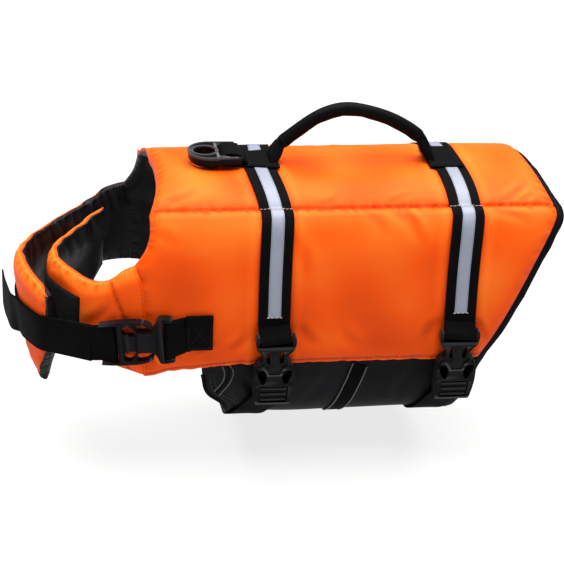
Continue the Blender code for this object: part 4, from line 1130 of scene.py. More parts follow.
BACK_CREASES = (
    (104, 6, 128, 30, 3, 0.55),
    (118, 5, 132, 14, 2.2, 0.5),
    (-160, 10, -132, 26, 3.4, 0.5),
    (12, 4, 34, 16, 2.6, 0.4),
    (-40, 5, -22, 18, 2.8, 0.35),
    (60, 120, 96, 138, 3, 0.5),
    (-140, 140, -110, 126, 3.2, 0.5),
)

LEFT_CREASES = (
    (14, 4, 40, 34, 4, 0.75),
    (24, 3, 36, 20, 2.6, 0.55),
    (-6, 6, 10, 26, 4, 0.4),
    (-168, 112, -158, 128, 2.6, 1.3),
    (-164, 110, -148, 124, 3, 1.1),
    (-173, 114, -169, 130, 2.4, 0.9),
    (-140, 118, -122, 112, 3, 0.7),
    (-112, 118, -98, 104, 3.4, 0.7),
    (-66, 20, -52, 60, 5, 0.5),
    (-58, 96, -40, 116, 4, 0.6),
    (40, 112, 58, 92, 4, 0.6),
    (84, 96, 94, 116, 3.2, 0.8),
    (90, 6, 124, 18, 3.4, 0.6),
    (-24, 100, -6, 118, 3.6, 0.4),
    (-170, 20, -150, 30, 4, 0.4),
)

RIGHT_CREASES = (
    (-20, 4, 6, 36, 4, 0.7),
    (-150, 96, -136, 116, 3, 1),
    (-110, 116, -92, 100, 3.4, 0.7),
    (30, 108, 52, 90, 4.2, 0.6),
    (96, 4, 118, 22, 3.4, 0.6),
    (-60, 22, -44, 64, 5, 0.5),
    (60, 70, 92, 52, 5, 0.5),
)


# Side panels


def make_side(name, node, hand, hem, strokes, seed):
    """A side panel with its listed folds. hand is -1 on the dog's left and +1 on its right."""
    place = (cloth_places(SIDE_LONG, ROLL_ENDS, ROLL_ENDS) / SIDE_LONG)[:, None]
    share = (cloth_places(SIDE_DEEP, ROLL_SEAM, ROLL_HEM) / SIDE_DEEP)[None, :]
    x = np.zeros((place.shape[0], share.shape[1]))
    for _ in range(24):
        hem_length = side_length_at(table_value(hem, x))
        length = share * hem_length
        z = side_section(length)[0][..., 1]
        front, rear = table_value(FRONT_EDGE, z), table_value(REAR_EDGE, z)
        x = 0.5 * x + 0.5 * (front + (rear - front) * place)
    joint = JOINT_FULL * fade(z, -56, -46) if hand < 0 else 0
    puff = (joint + (1 - joint) * roll(x - front, ROLL_ENDS)) * roll(rear - x, ROLL_ENDS)
    top, under, out = side_point(length, hem_length, puff)
    if hand > 0:
        thick = side_thickness(length, hem_length)
        lift = SHOULDER_SEAM * (thick - PINCH) * (1 - roll(x - front, ROLL_ENDS))
        lift = lift * ease(z, SHOULDER_LOW, SHOULDER_HIGH)
        over = np.maximum(np.linalg.norm(top - under, axis=-1), PINCH + lift)
        top = under + over[..., None] * out
        under = under + lift[..., None] * out
    outer = point(x, hand * top[..., 0], top[..., 1])
    inner = point(x, hand * under[..., 0], under[..., 1])
    normals = grid_normals(outer, lambda p: point(0, hand * out[..., 0], out[..., 1]))
    to_hem = hem_length - length
    inside = ease(x - front, 2, 18) * ease(rear - x, 2, 18)
    field = 0.7 * wander(x, length, seed, 85) * inside
    field *= ease(length, 6, 26) * ease(to_hem, 4, 22)
    field += puckers(x + 185, length, 330, seed + 1, 9, 15, 0.7)
    field += puckers(x + 185, to_hem, 300, seed + 2, 13, 14, 0.7)
    field += puckers(length, x - front, 140, seed + 3, 12, 10, 0.45)
    field += puckers(length, rear - x, 140, seed + 4, 10, 15, 0.7)
    field += creases(x, length, strokes)
    field += strap_press(x, top[..., 0], top[..., 1]) * ease(length, 0, 8)
    field += groove(to_hem - HEM_STITCH, 1, 0.6)
    field += 0.35 * hump(to_hem - 2.2, 1.5)
    field *= ease(x - front, 0, 3) * ease(rear - x, 0, 3) * ease(length, 0, 1.2)
    outer = outer + normals * field[..., None]
    quilt = wander(x, length, seed + 6, 42) * inside
    quilted = 0.5 * np.abs(quilt) * ease(length, 4, 20) * ease(to_hem, 8, 24)
    inner = inner - normals * quilted[..., None]
    # Painted shading: fold ridges lighter and hollows darker, painted shade at the seam and in the hem's
    # stitch groove, painted light on the hem's roll, and the panel painted lighter at the top and darker
    # towards the bottom; the lining painted lighter and darker over its quilting.
    painted_shading = np.clip(field * 0.35, -0.6, 0.5) - 0.35 * fade(length, 0, 1.5)
    painted_shading += 0.22 * ease(z, -42, -10) - 0.16 * fade(z, -112, -50)
    painted_shading += 0.45 * hump(to_hem - 1.2, 1.4) - 0.22 * hump(to_hem - HEM_STITCH, 1)
    pulls = {"pull_along": np.maximum((0.3 + 0.5 * ease(x, -120, 60)) * fade(length, 0.5, 6),
                                      0.6 * fade(to_hem, 2, 9)),
             "pull_across": 0.5 * fade(np.minimum(x - front, rear - x), 1, 8)}
    piece = padded_shell(name, outer, inner, point(x, length), painted_shading, 0.4 * quilt, ("orange", "lining"),
                         (0.8, 0.4, 0.1, 0.8), extra=pulls, dark_start=(hand > 0) & (z[0] > -60))
    place_piece(piece, "orange_cloth", node)
    j = nearest(share[0] * SIDE_DEEP, SIDE_DEEP - HEM_STITCH)
    sew("orange_thread", outer[6:-6, j], normals[6:-6, j], 0.1)


# Chest flaps


def chest_bend(angle, z, flat_at, corner_at):
    """How far a flap's upper part lies in from a round sweep: flat behind, and a corner in front."""
    flat = FLAP_FLAT[0] * hump(angle - flat_at, FLAP_FLAT[1])
    corner = FLAP_CORNER[0] * hump(angle - corner_at, FLAP_CORNER[1])
    return (flat - corner) * ease(z, -94, -68)


def flap_joint(angle, z, start):
    """How far a flap's first part reaches back to meet the front edge of its side panel."""
    reach = table_value(FRONT_EDGE, z) + FLAP_OVERLAP - start
    return reach * np.clip(1 - angle / 30, 0, 1) ** 2


def left_flap_face(angle, share, joined=1):
    """Plain outer face of the left flap, by the angle round it and the share from rim to hem."""
    turn = np.radians(angle)
    top, low = table_value(LEFT_FLAP_TOP, angle), table_value(LEFT_FLAP_HEM, angle)
    z = top + (low - top) * share
    half = side_half_width(z)
    half = np.where(angle > 90, LEFT_FLAP_RIGHT_HALF + (half - LEFT_FLAP_HALF), half)
    bend = chest_bend(angle, z, 124, 76)
    x = LEFT_FLAP_START - (LEFT_FLAP_DEEP - bend) * np.sin(turn)
    x = x + joined * flap_joint(angle, z, LEFT_FLAP_START)
    return point(x, (bend - half) * np.cos(turn), z)


def right_flap_face(angle, share, joined=1):
    """The same of the right flap, which laps over the left one with a cut and drooping end."""
    top, low = table_value(RIGHT_FLAP_TOP, angle), table_value(RIGHT_FLAP_HEM, angle)
    low = low - RIGHT_FLAP_DROP * ease(angle, *RIGHT_FLAP_DROPS)
    z = top + (low - top) * share
    angle = angle - RIGHT_FLAP_CUT * ease(angle, 88, 131) * ease(share, 0.45, 1.05)
    turn = np.radians(angle)
    bend = chest_bend(angle, z, 46, 84) * ease(angle, 4, 20)
    inward = RIGHT_FLAP_LEAN * (-60 - z) / 60 + bend
    side = np.where(angle < 90, RIGHT_FLAP_SIDE, RIGHT_FLAP_END)
    lean_side = inward * np.clip(angle / 30, 0, 1) ** 2
    start = (side_half_width(z) - RIGHT_FLAP_CENTRE[1] - RIGHT_FLAP_SIDE) * fade(angle, 0, 40)
    x = RIGHT_FLAP_CENTRE[0] - (RIGHT_FLAP_DEEP - inward) * np.sin(turn)
    x = x + joined * flap_joint(angle, z, RIGHT_FLAP_CENTRE[0])
    return point(x, RIGHT_FLAP_CENTRE[1] + (side - lean_side + start) * np.cos(turn), z)


def from_chest_middle(points):
    away = points - np.array([CHEST_MIDDLE, 0, 0])
    away[..., 2] = 0
    return away


def make_flap(name, node, face, turn, rim_seam, seed, channel):
    """A chest flap. rim_seam says where along its top the sewn edge lies in the foam, 0 inside
    to 1 outside, which shows more of the lining or more of the orange cloth. With channel it is
    sewn down in a line beside its side panel."""
    angles = np.linspace(0, turn, 400)
    run = lengths_along(face(angles, 0.5))
    total = run[-1]
    place = cloth_places(total, ROLL_ENDS, ROLL_ENDS)
    angle = np.interp(place, run, angles)[:, None]
    share = (cloth_places(FLAP_DEEP, 10, 10) / FLAP_DEEP)[None, :]
    angle, share = np.broadcast_arrays(angle, share)
    grid = face(angle, share)
    normals = grid_normals(face(angle, share, 0), from_chest_middle)
    p = np.broadcast_to(place[:, None], angle.shape)
    depth = np.concatenate([np.zeros((len(place), 1)),
                            np.cumsum(np.linalg.norm(np.diff(grid, axis=1), axis=-1), axis=1)], axis=1)
    drop = depth[:, -1:]
    sewn = CHANNEL_AT * total + CHANNEL_SLANT * np.clip(CHANNEL_UPPER - depth, -12, CHANNEL_UPPER)
    from_sewn = np.abs(p - sewn)
    if channel:
        puff = (JOINT_FULL + (1 - JOINT_FULL) * roll(p, ROLL_ENDS)) * roll(total - p, ROLL_ENDS)
        puff = puff * (0.55 + 0.45 * roll(from_sewn, CHANNEL_HALF))
    else:
        puff = roll(p, ROLL_ENDS) * roll(total - p, BLUNT_END)
    puff = puff * roll(depth, 15) * roll(drop - depth, 11)
    seam_at, seam_share = zip(*rim_seam)
    edge = np.interp(p / total, seam_at, seam_share) + 0.09 * wander(p, 0 * p, seed + 9, 17)
    edge = edge + (0.45 - edge) * ease(depth / drop, 0.35, 0.75)
    first = 0 if channel else SHOULDER_SEAM * ease(grid[..., 2], SHOULDER_LOW, SHOULDER_HIGH)
    edge = first + (np.clip(edge, 0, 1) - first) * ease(p, 2, 22)
    edge = edge * (FOAM - PINCH)
    high = (edge + PINCH) + (FOAM - edge - PINCH) * puff
    low = edge * (1 - puff)
    from_edge = np.minimum(np.minimum(depth, drop - depth), total - p)
    field = 0.6 * wander(p, depth, seed, 55) * ease(from_edge, 3, 16) * ease(p, 4, 20)
    field += puckers(p, depth, total, seed + 1, 11, 15, 1.5)
    field += puckers(p, drop - depth, total, seed + 2, 11, 12, 1)
    field += puckers(depth, total - p, 80, seed + 3, 10, 13, 1.1)
    if channel:
        field += puckers(depth, from_sewn, 80, seed + 4, 9, 12, 0.35)
        field += groove(from_sewn, 0.8, 0.4)
        field += creases(p, depth, ((30, 20, 60, 44, 4, 0.8), (22, 60, 50, 74, 3.6, 0.9),
                                    (70, 16, 84, 50, 5, 0.6)))
    at_rim = ease(depth, 0, 2.5) * ease(drop - depth, 0, 2.5) * ease(total - p, 0, 2.5)
    field *= at_rim * ease(p, 0, 3)
    outer = grid - FOAM * normals + (high + field)[..., None] * normals
    inner_field = 0.5 * wander(p, depth, seed + 7, 34) * ease(from_edge, 2, 12) * ease(p, 4, 24)
    inner_field += puckers(p, depth, total, seed + 5, 13, 30, 2.2)
    inner_field += puckers(p, drop - depth, total, seed + 6, 14, 24, 1.4)
    inner_field *= at_rim
    inner = grid - FOAM * normals + (low - 0.8 * inner_field * ease(p, 2, 14))[..., None] * normals
    # Painted shading: fold ridges lighter and hollows darker, and painted light along the top rim.
    painted_shading = np.clip(field * 0.35, -0.6, 0.5) + 0.65 * fade(depth, 2, 12)
    near_rim = fade(np.minimum(depth, drop - depth), 1, 9)
    pulls = {"pull_along": 0.8 * near_rim, "pull_across": 0.7 * fade(total - p, 1, 8)}
    if channel:
        # Painted shade along the stitched line.
        painted_shading = painted_shading - 0.1 * hump(from_sewn, 1.2)
        beside = np.minimum(from_sewn, p)
        pulls["pull_across"] = np.maximum(pulls["pull_across"], 0.25 * fade(beside, 0.5, 5))
    # The lining's painted shading follows its inner folds, a little lighter overall.
    piece = padded_shell(name, outer, inner, point(p, depth), painted_shading,
                         np.clip(0.45 * inner_field + 0.1, -0.7, 0.9), ("orange", "lining"),
                         (0.1, 1.2, 1.1, 1.1), 0.5, extra=pulls, dark_end=True)
    place_piece(piece, "orange_cloth", node)
    if channel:
        for line in (sewn[0], np.full(sewn.shape[1], 2.4)):
            seam, lifted = (np.array([[np.interp(at, place, grid_part[:, j, c]) for c in range(3)]
                                      for j, at in enumerate(line)]) for grid_part in (outer, normals))
            sew("orange_thread", seam[5:-5], lifted[5:-5], 0.15)


def make_flap_pile():
    angle, z = np.meshgrid(np.linspace(*PILE_ANGLES, 60), np.linspace(*PILE_HEIGHTS, 30), indexing="ij")
    top, low = table_value(LEFT_FLAP_TOP, angle), table_value(LEFT_FLAP_HEM, angle)
    grid = left_flap_face(angle, (z - top) / (low - top))
    normals = grid_normals(grid, from_chest_middle)
    rough = np.random.default_rng(8).uniform(0, 0.35, angle.shape)
    edge = np.ones(angle.shape)
    edge[0], edge[-1], edge[:, 0], edge[:, -1] = 0.2, 0.2, 0.2, 0.2
    outer = grid + (0.6 + (1.4 + rough) * edge)[..., None] * normals
    piece = padded_shell("loop_pile_patch", outer, grid + 0.1 * normals, point(angle, z), rough, rough,
                         ("pile", "pile"), (0.2, 0.2, 0.2, 0.2))
    place_piece(piece, "hook_and_loop", "flap_patch")


# Girth straps, their tape and loops


def girth_line(left_z, right_z):
    """Line (y, z) and normals over both sides and the back, from the left end to the right."""
    hem = side_length_at(HEM)
    left = np.arange(float(side_length_at(left_z)), 2, -2)
    right = np.arange(2, float(side_length_at(right_z)), 2)
    left = side_point(left, hem)[0] * np.array([-1, 1])
    right = side_point(right, hem)[0]
    back = back_outer(np.sin(np.linspace(-1, 1, 61) * 0.5 * math.pi)[2:-2])
    return np.vstack([left, back, right])


def make_girth_straps():
    for name, crest, seam, side in GIRTH_STRAPS:
        line = girth_line(GIRTH_STRAP_END, HEM + 6)
        x = strap_x(line[:, 0], line[:, 1], crest, seam, side)
        lengths = lengths_along(line)
        even = np.linspace(0, lengths[-1], 110)
        line, x = along(line, lengths, even), np.interp(even, lengths, x)
        run = run_of(line)
        out = point(0, -run[:, 1], run[:, 0])
        path = point(x, line[:, 0], line[:, 1])
        middle = path + (WEB_HALF - WEB_SUNK) * out
        webbing("girth_webbing_" + name, ["girth_strap_" + name], middle, out, GIRTH_WEB)
        held = np.where(line[:, 1] > TAPE_END)[0]
        lift = WEB_THICK - WEB_SUNK + 0.5 * TAPE_THICK
        webbing("silver_strip_" + name, ["reflective_tape_" + name], (path + lift * out)[held], out[held],
                TAPE_WIDE, TAPE_THICK, "tape", 3, 0, "reflective_tape")
        over = path + (WEB_THICK - 0.1) * out
        for aside in (-0.5, 0.5):
            shift = np.array([aside * (TAPE_WIDE - 1.4), 0, 0])
            sew("grey_thread", (over + (TAPE_THICK + 0.05) * out + shift)[held][1:-1], out[held][1:-1])
        for end in (0, -1):
            wide = np.linspace(-0.5 * TAPE_WIDE, 0.5 * TAPE_WIDE, 5)
            row = (over + TAPE_THICK * out)[held][end] + point(wide, 0, 0)
            sew("pale_thread", row, out[held][[end] * 5], 0.12)
        for at_y in (-SEAM_OUT[0], SEAM_OUT[0]):
            k = nearest(np.abs(line[:, 0] - at_y) + np.abs(line[:, 1] - SEAM_OUT[1]), 0)
            wide = np.linspace(-0.5 * GIRTH_WEB + 1, 0.5 * GIRTH_WEB - 1, 8)
            row = over[k] + point(wide, 0, 0)
            raised = np.where(np.abs(wide) < 0.5 * TAPE_WIDE, TAPE_THICK, 0)[:, None]
            sew("pale_thread", row + raised * out[k], out[[k] * 8], 0.15)


def loop_strip(name, node, start, bar, side, width):
    """Webbing sewn at start that turns round a bar and comes back."""
    start, bar, side = (np.array(v, float) for v in (start, bar, side))
    side = unit(side)
    reach = bar - start
    run = unit(reach)
    lift = np.cross(side, run)
    radius = BAR_RADIUS + 0.35 + WEB_HALF
    path = [start - 4.5 * run - lift, start + WEB_HALF * lift,
            start + 0.5 * reach + (WEB_HALF + 0.4) * lift]
    out = [lift, lift, lift]
    for turn in np.radians(np.linspace(105, -105, 15)):
        ray = math.cos(turn) * run + math.sin(turn) * lift
        path.append(bar + radius * ray)
        out.append(ray)
    path += [start + 0.4 * reach - (WEB_HALF + 0.6) * lift, start - WEB_HALF * lift]
    out += [-lift, -lift]
    webbing(name, [node], np.array(path), np.array(out), width)


# Plastic buckles


def flat_plate(outlines, low, high, bevel):
    """A moulded plate from flat outlines (the later ones are holes), its edges rounded."""
    curve = bpy.data.curves.new("outline", "CURVE")
    curve.dimensions = "2D"
    curve.fill_mode = "BOTH"
    curve.extrude = 0.5 * (high - low) * MM
    for outline in outlines:
        line = curve.splines.new("POLY")
        line.points.add(len(outline) - 1)
        for knot, (x, y) in zip(line.points, outline):
            knot.co = (x * MM, y * MM, 0, 1)
        line.use_cyclic_u = True
    mesh = plain_mesh(link_piece("outline", curve))
    work = bmesh.new()
    work.from_mesh(mesh)
    bmesh.ops.remove_doubles(work, verts=work.verts, dist=1e-6)
    bmesh.ops.recalc_face_normals(work, faces=work.faces)
    sharp = [e for e in work.edges if len(e.link_faces) == 2 and e.calc_face_angle() > math.radians(50)]
    bmesh.ops.bevel(work, geom=sharp, offset=bevel * MM, segments=3, profile=0.5, affect="EDGES",
                    clamp_overlap=True)
    bmesh.ops.translate(work, verts=work.verts, vec=(0, 0, 0.5 * (low + high) * MM))
    bmesh.ops.triangulate(work, faces=[f for f in work.faces if len(f.verts) > 4])
    work.to_mesh(mesh)
    work.free()
    return mesh


def round_bar(start, end, radius):
    start, end = Vector(start) * MM, Vector(end) * MM
    work = bmesh.new()
    bmesh.ops.create_cone(work, cap_ends=True, segments=24, radius1=radius * MM, radius2=radius * MM,
                          depth=(end - start).length)
    turn = Vector((0, 0, 1)).rotation_difference(end - start).to_matrix().to_4x4()
    bmesh.ops.transform(work, verts=work.verts, matrix=Matrix.Translation((start + end) * 0.5) @ turn)
    mesh = bpy.data.meshes.new("bar")
    work.to_mesh(mesh)
    work.free()
    return mesh


def moulded(name, parts, matrix, finish, raised=(), raised_finish=None):
    """Joins moulded parts into one piece and puts it in its place."""
    work = bmesh.new()
    plates = [*parts, *raised]
    for part in plates:
        before = len(work.faces)
        work.from_mesh(part)
        work.faces.ensure_lookup_table()
        for face in work.faces[before:]:
            face.material_index = 1 if part in raised else 0
    for part in plates:
        bpy.data.meshes.remove(part)
    mesh = bpy.data.meshes.new(name)
    work.to_mesh(mesh)
    work.free()
    mesh.transform(matrix)
    mesh.materials.append(FINISHES[finish])
    if raised_finish:
        mesh.materials.append(FINISHES[raised_finish])
    mesh.shade_smooth()
    mesh.set_sharp_from_angle(angle=math.radians(38))
    return link_piece(name, mesh)


def curved(points, steps=5):
    return smooth_line(points, steps).tolist()


def mirrored(half):
    """A closed outline from its right half, listed from top to bottom."""
    return [tuple(p) for p in half] + [(-x, y) for x, y in reversed(half)]


def both_sides(hole):
    return [list(hole), [(-x, y) for x, y in reversed(hole)]]


def thick_line(points, width):
    """Closed outline of a flat rib that follows these points."""
    line = np.array(points, float)
    run = run_of(line)
    aside = 0.5 * width * point(-run[:, 1], run[:, 0])
    return [tuple(p) for p in np.vstack([line + aside, (line - aside)[::-1]])]


def frame_from(origin, across, along_it, out):
    turn = Matrix([Vector(column).normalized() for column in (across, along_it, out)]).transposed()
    return Matrix.Translation(Vector(origin) * MM) @ turn.to_4x4()


def rectangle(half, low, high):
    return [(-half, low), (half, low), (half, high), (-half, high)]


def buckle_bar(w, y):
    return round_bar((1 - w, y, 0), (w - 1, y, 0), BAR_RADIUS)


def girth_plug(w, lug):
    """A plug whose bar stands beyond its plate, with a slot, rims and a tongue between its arms."""
    frame = [(lug, -1.2), (lug, -9.3), (lug + 0.6, -10.5), (w - 0.9, -10.5), (w, -9.3), (w + 0.6, -5),
             (w, -0.6)]
    waist = curved([(w, -0.6), (w - 0.8, 2.2), (w - 3.4, 5.2), (w - 5.4, 8.2), (w - 5.6, 11),
                    (w - 4.2, 14.6), (w - 2.6, 18.4), (w - 1.8, 22.5)])
    slot = curved([(3.2, 4.6), (5.8, 4.2), (6.8, 6.6), (6.8, 12.2), (6, 15), (3.6, 15.2)])
    tongue = curved([(w - 1.8, 0.2), (w - 3, 2.4), (6.3, 3.2), (3.2, 5), (2.9, 9.6), (3.6, 15),
                     (5.6, 20), (6, 26)])
    top = 0.5 * PLUG_THICK
    plates = [flat_plate([mirrored(frame + waist[1:])] + both_sides(slot), 0.8 - top, top - 0.9, 0.7),
              flat_plate([mirrored(tongue)], top - 2, top + 0.2, 0.45),
              flat_plate([rectangle(w - 0.6, -1, 0.8)], top - 1.6, top + 0.6, 0.4)]
    for hand in (-1, 1):
        rim = [(hand * (x - 0.2), y) for x, y in waist[3:-4]]
        rim += [(hand * (x - 1.3), y) for x, y in waist[3:-4]][::-1]
        plates.append(flat_plate([rim], top - 1.6, top - 0.2, 0.35))
    return plates + [buckle_bar(w, -5)]


def chest_plug(w, lug):
    """A plug whose arms arch over a notch on each side, with its bar inside its frame."""
    frame = [(lug, 16), (lug, 3.2), (lug + 0.4, 2.4), (w - 1.6, 2.4), (w - 1, 3.8), (w - 0.4, 10)]
    waist = curved([(w, 16.6), (w + 0.1, 21), (w, 25), (w - 0.1, 29), (w - 0.3, 32.5), (w - 0.9, 36),
                    (w - 2.3, 39.8), (w - 4, 42.2), (w - 5.6, 43), (w - 6.4, 42.2), (w - 5.6, 40.8),
                    (w - 4, 38.2), (w - 3, 35), (w - 2.9, 32.4), (w - 3.4, 30.6), (w - 4.6, 30),
                    (w - 6.4, 30.5), (w - 8.4, 31.1)])
    slot = curved([(9.2, 19.6), (12, 20), (14.2, 21.8), (14.6, 24.8), (12.6, 27.4), (9.6, 29.3),
                   (7, 29.4), (6.2, 26.6), (7.2, 22)])
    top = 0.5 * PLUG_THICK
    return [flat_plate([mirrored(frame + waist[1:])] + both_sides(slot), 0.8 - top, top + 0.6, 0.7),
            buckle_bar(w, CHEST_BARS[0])]


def girth_socket(w, lug):
    """A socket with its lid, two finger slots, a sunk panel and the ribs across it."""
    mouth = curved([(4.8, 24), (6.4, 19.6), (9.4, 16.6), (w - 3, 16.2), (w - 1, 19), (w + 0.4, 23.4)])
    side = curved([(w + 0.4, 23.4), (w + 1.3, 29), (w + 1.4, 38), (w + 0.6, 46), (w - 0.6, 53),
                   (w - 2, 56.8)])
    slip = curved([(6.4, 30.4), (6.4, 26), (8.6, 21), (11.6, 18), (w - 2.2, 19.4), (w - 1.9, 24),
                   (w - 2.9, 29), (10.4, 33.6), (7.8, 34.4)])
    mid_x, mid_y = np.mean(slip, axis=0)
    wide_slip = [(mid_x + 1.10 * (x - mid_x), mid_y + 1.06 * (y - mid_y)) for x, y in slip]
    top = 0.5 * SOCKET_THICK
    lid_end, panel_top, ribs = 55.3, 37, 3
    panel_low = lid_end - 1.8
    lid = mirrored([(x - 0.9, y + 1.3) for x, y in mouth]
                   + [(x - 0.9, y) for x, y in side[2:] if y < lid_end - 1] + [(w - 2.4, lid_end)])
    panel = mirrored([(w - 4.2, panel_top), (w - 3.6, panel_top + 1.2), (w - 4.4, panel_low - 1),
                      (w - 5.4, panel_low)])
    plates = [flat_plate([mirrored(mouth + side[1:])] + both_sides(slip), -top, top - 1.9, 1.2),
              flat_plate([lid, panel] + both_sides(wide_slip), top - 2.5, top - 0.1, 0.6)]
    for k in range(ribs):
        y = panel_top + (k + 0.5) * (panel_low - panel_top) / ribs
        rib = rectangle(w - 4.8 - 0.3 * k, y - 0.8, y + 0.8)
        plates.append(flat_plate([rib], top - 2.6, top - 0.3, 0.45))
    return plates


def chest_socket(w, lug):
    """A socket with its lid, open at its end round its own bar."""
    end = BUCKLE_LONG - 2.6
    mouth = curved([(9, 31.2), (8.7, 32.6), (8.5, 34.4), (8.6, 37.6), (8.9, 41), (10.4, 43.6), (13, 45.4),
                    (w - 1.6, 46.6)])
    side = curved([(w - 1.6, 46.6), (w + 0.2, 47.8), (w + 0.9, 50), (w + 0.7, 54), (w + 0.1, end - 1.6)])
    corner = [(w - 0.6, end - 0.6), (lug + 0.5, end - 0.6), (lug, end - 1.4), (lug, 50.6)]
    lid = mirrored([(x - 0.6, y + 0.5) for x, y in mouth] + [(x - 0.7, y) for x, y in side[1:] if y < 50.4]
                   + [(w - 0.2, 50.4)])
    top = 0.5 * SOCKET_THICK
    return [flat_plate([mirrored(mouth + side[1:] + corner)], -top, top - 1.9, 1),
            flat_plate([lid], top - 2.5, top - 0.3, 0.6), buckle_bar(w, CHEST_BARS[1])]


def make_buckle(name, matrix, width, plug, socket):
    """A fastened side-release buckle: y runs from the plug's bar to the socket's end."""
    w, lug = 0.5 * width + BUCKLE_WALL, 0.5 * width + WEB_PLAY
    for part, plates in (("_plug", plug), ("_socket", socket)):
        moulding = moulded(name + part + "_moulding", plates(w, lug), matrix, "plastic")
        place_piece(moulding, "black_plastic", name + part)


def buckle_frame(x):
    """Frame of a girth buckle: origin at its top, y down the body and z outward."""
    down = np.array([0, BUCKLE_LEAN, -1]) / math.hypot(1, BUCKLE_LEAN)
    out = np.array([0, -1, -BUCKLE_LEAN]) / math.hypot(1, BUCKLE_LEAN)
    back_y = -(BUCKLE_BACK[0] + BUCKLE_LEAN * (BUCKLE_TOP - BUCKLE_BACK[1]))
    origin = np.array([x, back_y, BUCKLE_TOP]) + 0.5 * SOCKET_THICK * out
    return origin, np.cross(down, out), down, out


def make_girth_buckles():
    start, normal = side_section(side_length_at(GIRTH_STRAP_END - 0.3))
    seat = start + (0.6 + WEB_THICK) * normal
    for name, x in BUCKLE_X.items():
        origin, across, down, out = buckle_frame(x)
        matrix = frame_from(origin, across, down, out)
        make_buckle("girth_buckle_" + name, matrix, GIRTH_WEB, girth_plug, girth_socket)
        strap_end = [row[3] for row in GIRTH_STRAPS if row[0] == name][0]
        loop_strip("loop_webbing_" + name, "strap_loop_" + name, (strap_end, -seat[0], seat[1]),
                   origin - 5 * down, (1, 0, 0), GIRTH_WEB - 0.2)


def chest_frame():
    along_it = unit(-np.array(CHEST_BUCKLE_RUN))
    out = np.array([0, -1, 0]) - along_it * np.dot(along_it, (0, -1, 0))
    out = unit(out)
    origin = np.array(CHEST_BUCKLE_RIGHT) - BUCKLE_LONG * along_it
    return origin, np.cross(along_it, out), along_it, out


def make_chest_fastening():
    origin, across, along_it, out = chest_frame()
    matrix = frame_from(origin, across, along_it, out)
    make_buckle("chest_buckle", matrix, CHEST_WEB, chest_plug, chest_socket)
    x = np.linspace(CHEST_TAB[1], CHEST_TAB[0], 9)
    at, normal = side_section(side_length_at(CHEST_LINE))
    lift = 0.4 + WEB_THICK
    path = point(x, -at[0] - lift * normal[0], at[1] + lift * normal[1])
    out_tab = np.repeat([[0, -normal[0], normal[1]]], len(x), axis=0)
    webbing("chest_tab_webbing", ["chest_tab"], path, out_tab, CHEST_WEB, 2 * WEB_THICK,
            pitch=CHEST_PITCH, depth=0.07)
    top = path[0] + (WEB_THICK + 0.02) * out_tab[0]
    near, far, high = 2, 19, 12.5
    box = ((near, high), (far, high), (far, -high), (near, -high), (near, high))
    for line in (box, ((near, high), (far, -high)), ((near, -high), (far, high))):
        row = [top + np.array([x_in, 0, z_up]) for x_in, z_up in line]
        sew("black_thread", row, out_tab[:len(line)], 0.12)
    bar = origin + CHEST_BARS[1] * along_it
    at, normal = side_section(side_length_at(bar[2]))
    start = (CHEST_TAB[1] - 1, -(at[0] + 0.4 + WEB_THICK), bar[2] + 0.4)
    loop_strip("tab_loop_webbing", "chest_loop_tab", start, bar, across, CHEST_WEB - 1)
    bar = origin + CHEST_BARS[0] * along_it
    start = origin - 5 * along_it - 1.5 * out
    loop_strip("strap_loop_webbing", "chest_loop_strap", start, bar, across, CHEST_WEB - 1)
    make_chest_strap(start + 0.5 * along_it - 0.3 * out)


def flap_outer_at(angle, z):
    """Point, outward normal and upward direction on the outer flap, at an angle and height."""
    top, low = table_value(RIGHT_FLAP_TOP, angle), table_value(RIGHT_FLAP_HEM, angle)
    share = (z - top) / (low - RIGHT_FLAP_DROP * ease(angle, *RIGHT_FLAP_DROPS) - top)
    at = right_flap_face(angle, share)
    run = right_flap_face(angle + 1, share) - right_flap_face(angle - 1, share)
    up = right_flap_face(angle, share - 0.05) - right_flap_face(angle, share + 0.05)
    normal = unit(np.cross(up, run))
    if np.dot(normal, at - np.array([CHEST_MIDDLE, 0, at[2]])) < 0:
        normal = -normal
    return at, normal, unit(up)


def upright_normals(path, ups):
    """Outward directions of a strip that stands on edge, going round the chest."""
    run = run_of(path)
    out = np.cross(square_to(run, np.array(ups)), run)
    facing = out @ np.array((-1, -0.45, 0))
    return out * np.where(facing < 0, -1, 1)[:, None]


def make_chest_strap(start):
    """The strap from the buckle round the right flap, and its loose tail outside it."""
    path, ups = [start], [np.array([0, 0, 1])]
    for angle in STRAP_ANGLES:
        turned = STRAP_ANGLES[0] - angle
        rise = (CHEST_STRAP_Z[1] - CHEST_STRAP_Z[0]) * turned / (STRAP_ANGLES[0] - STRAP_ANGLES[-1])
        height = CHEST_STRAP_Z[0] + rise - STRAP_SAG * ease(turned, 4, 40)
        at, normal, up = flap_outer_at(angle, height)
        path.append(at + (STRAP_OFF_FLAP + WEB_HALF) * normal)
        ups.append(up)
    for line in (path, ups):
        line[1:1] = [line[0] + t * (line[1] - line[0]) for t in (0.25, 0.5, 0.75)]
    path = np.array(path)
    normals = upright_normals(path, ups)
    webbing("chest_webbing", ["chest_strap"], path, normals, CHEST_WEB, pitch=CHEST_PITCH, depth=0.06)
    held = path[:TAIL_LEAVES] + normals[:TAIL_LEAVES] * (WEB_THICK + 0.15)
    free = np.array(TAIL_FREE) + np.array([-WEB_HALF, 0, -TAIL_LOW])
    tail = np.vstack([held, free])
    tail_normals = upright_normals(tail, list(ups[:TAIL_LEAVES]) + [np.array([0, 0, 1])] * len(free))
    webbing("chest_tail_webbing", ["chest_strap_tail"], tail, tail_normals, CHEST_WEB,
            pitch=CHEST_PITCH, depth=0.06)


# Belly panel, its band and straps

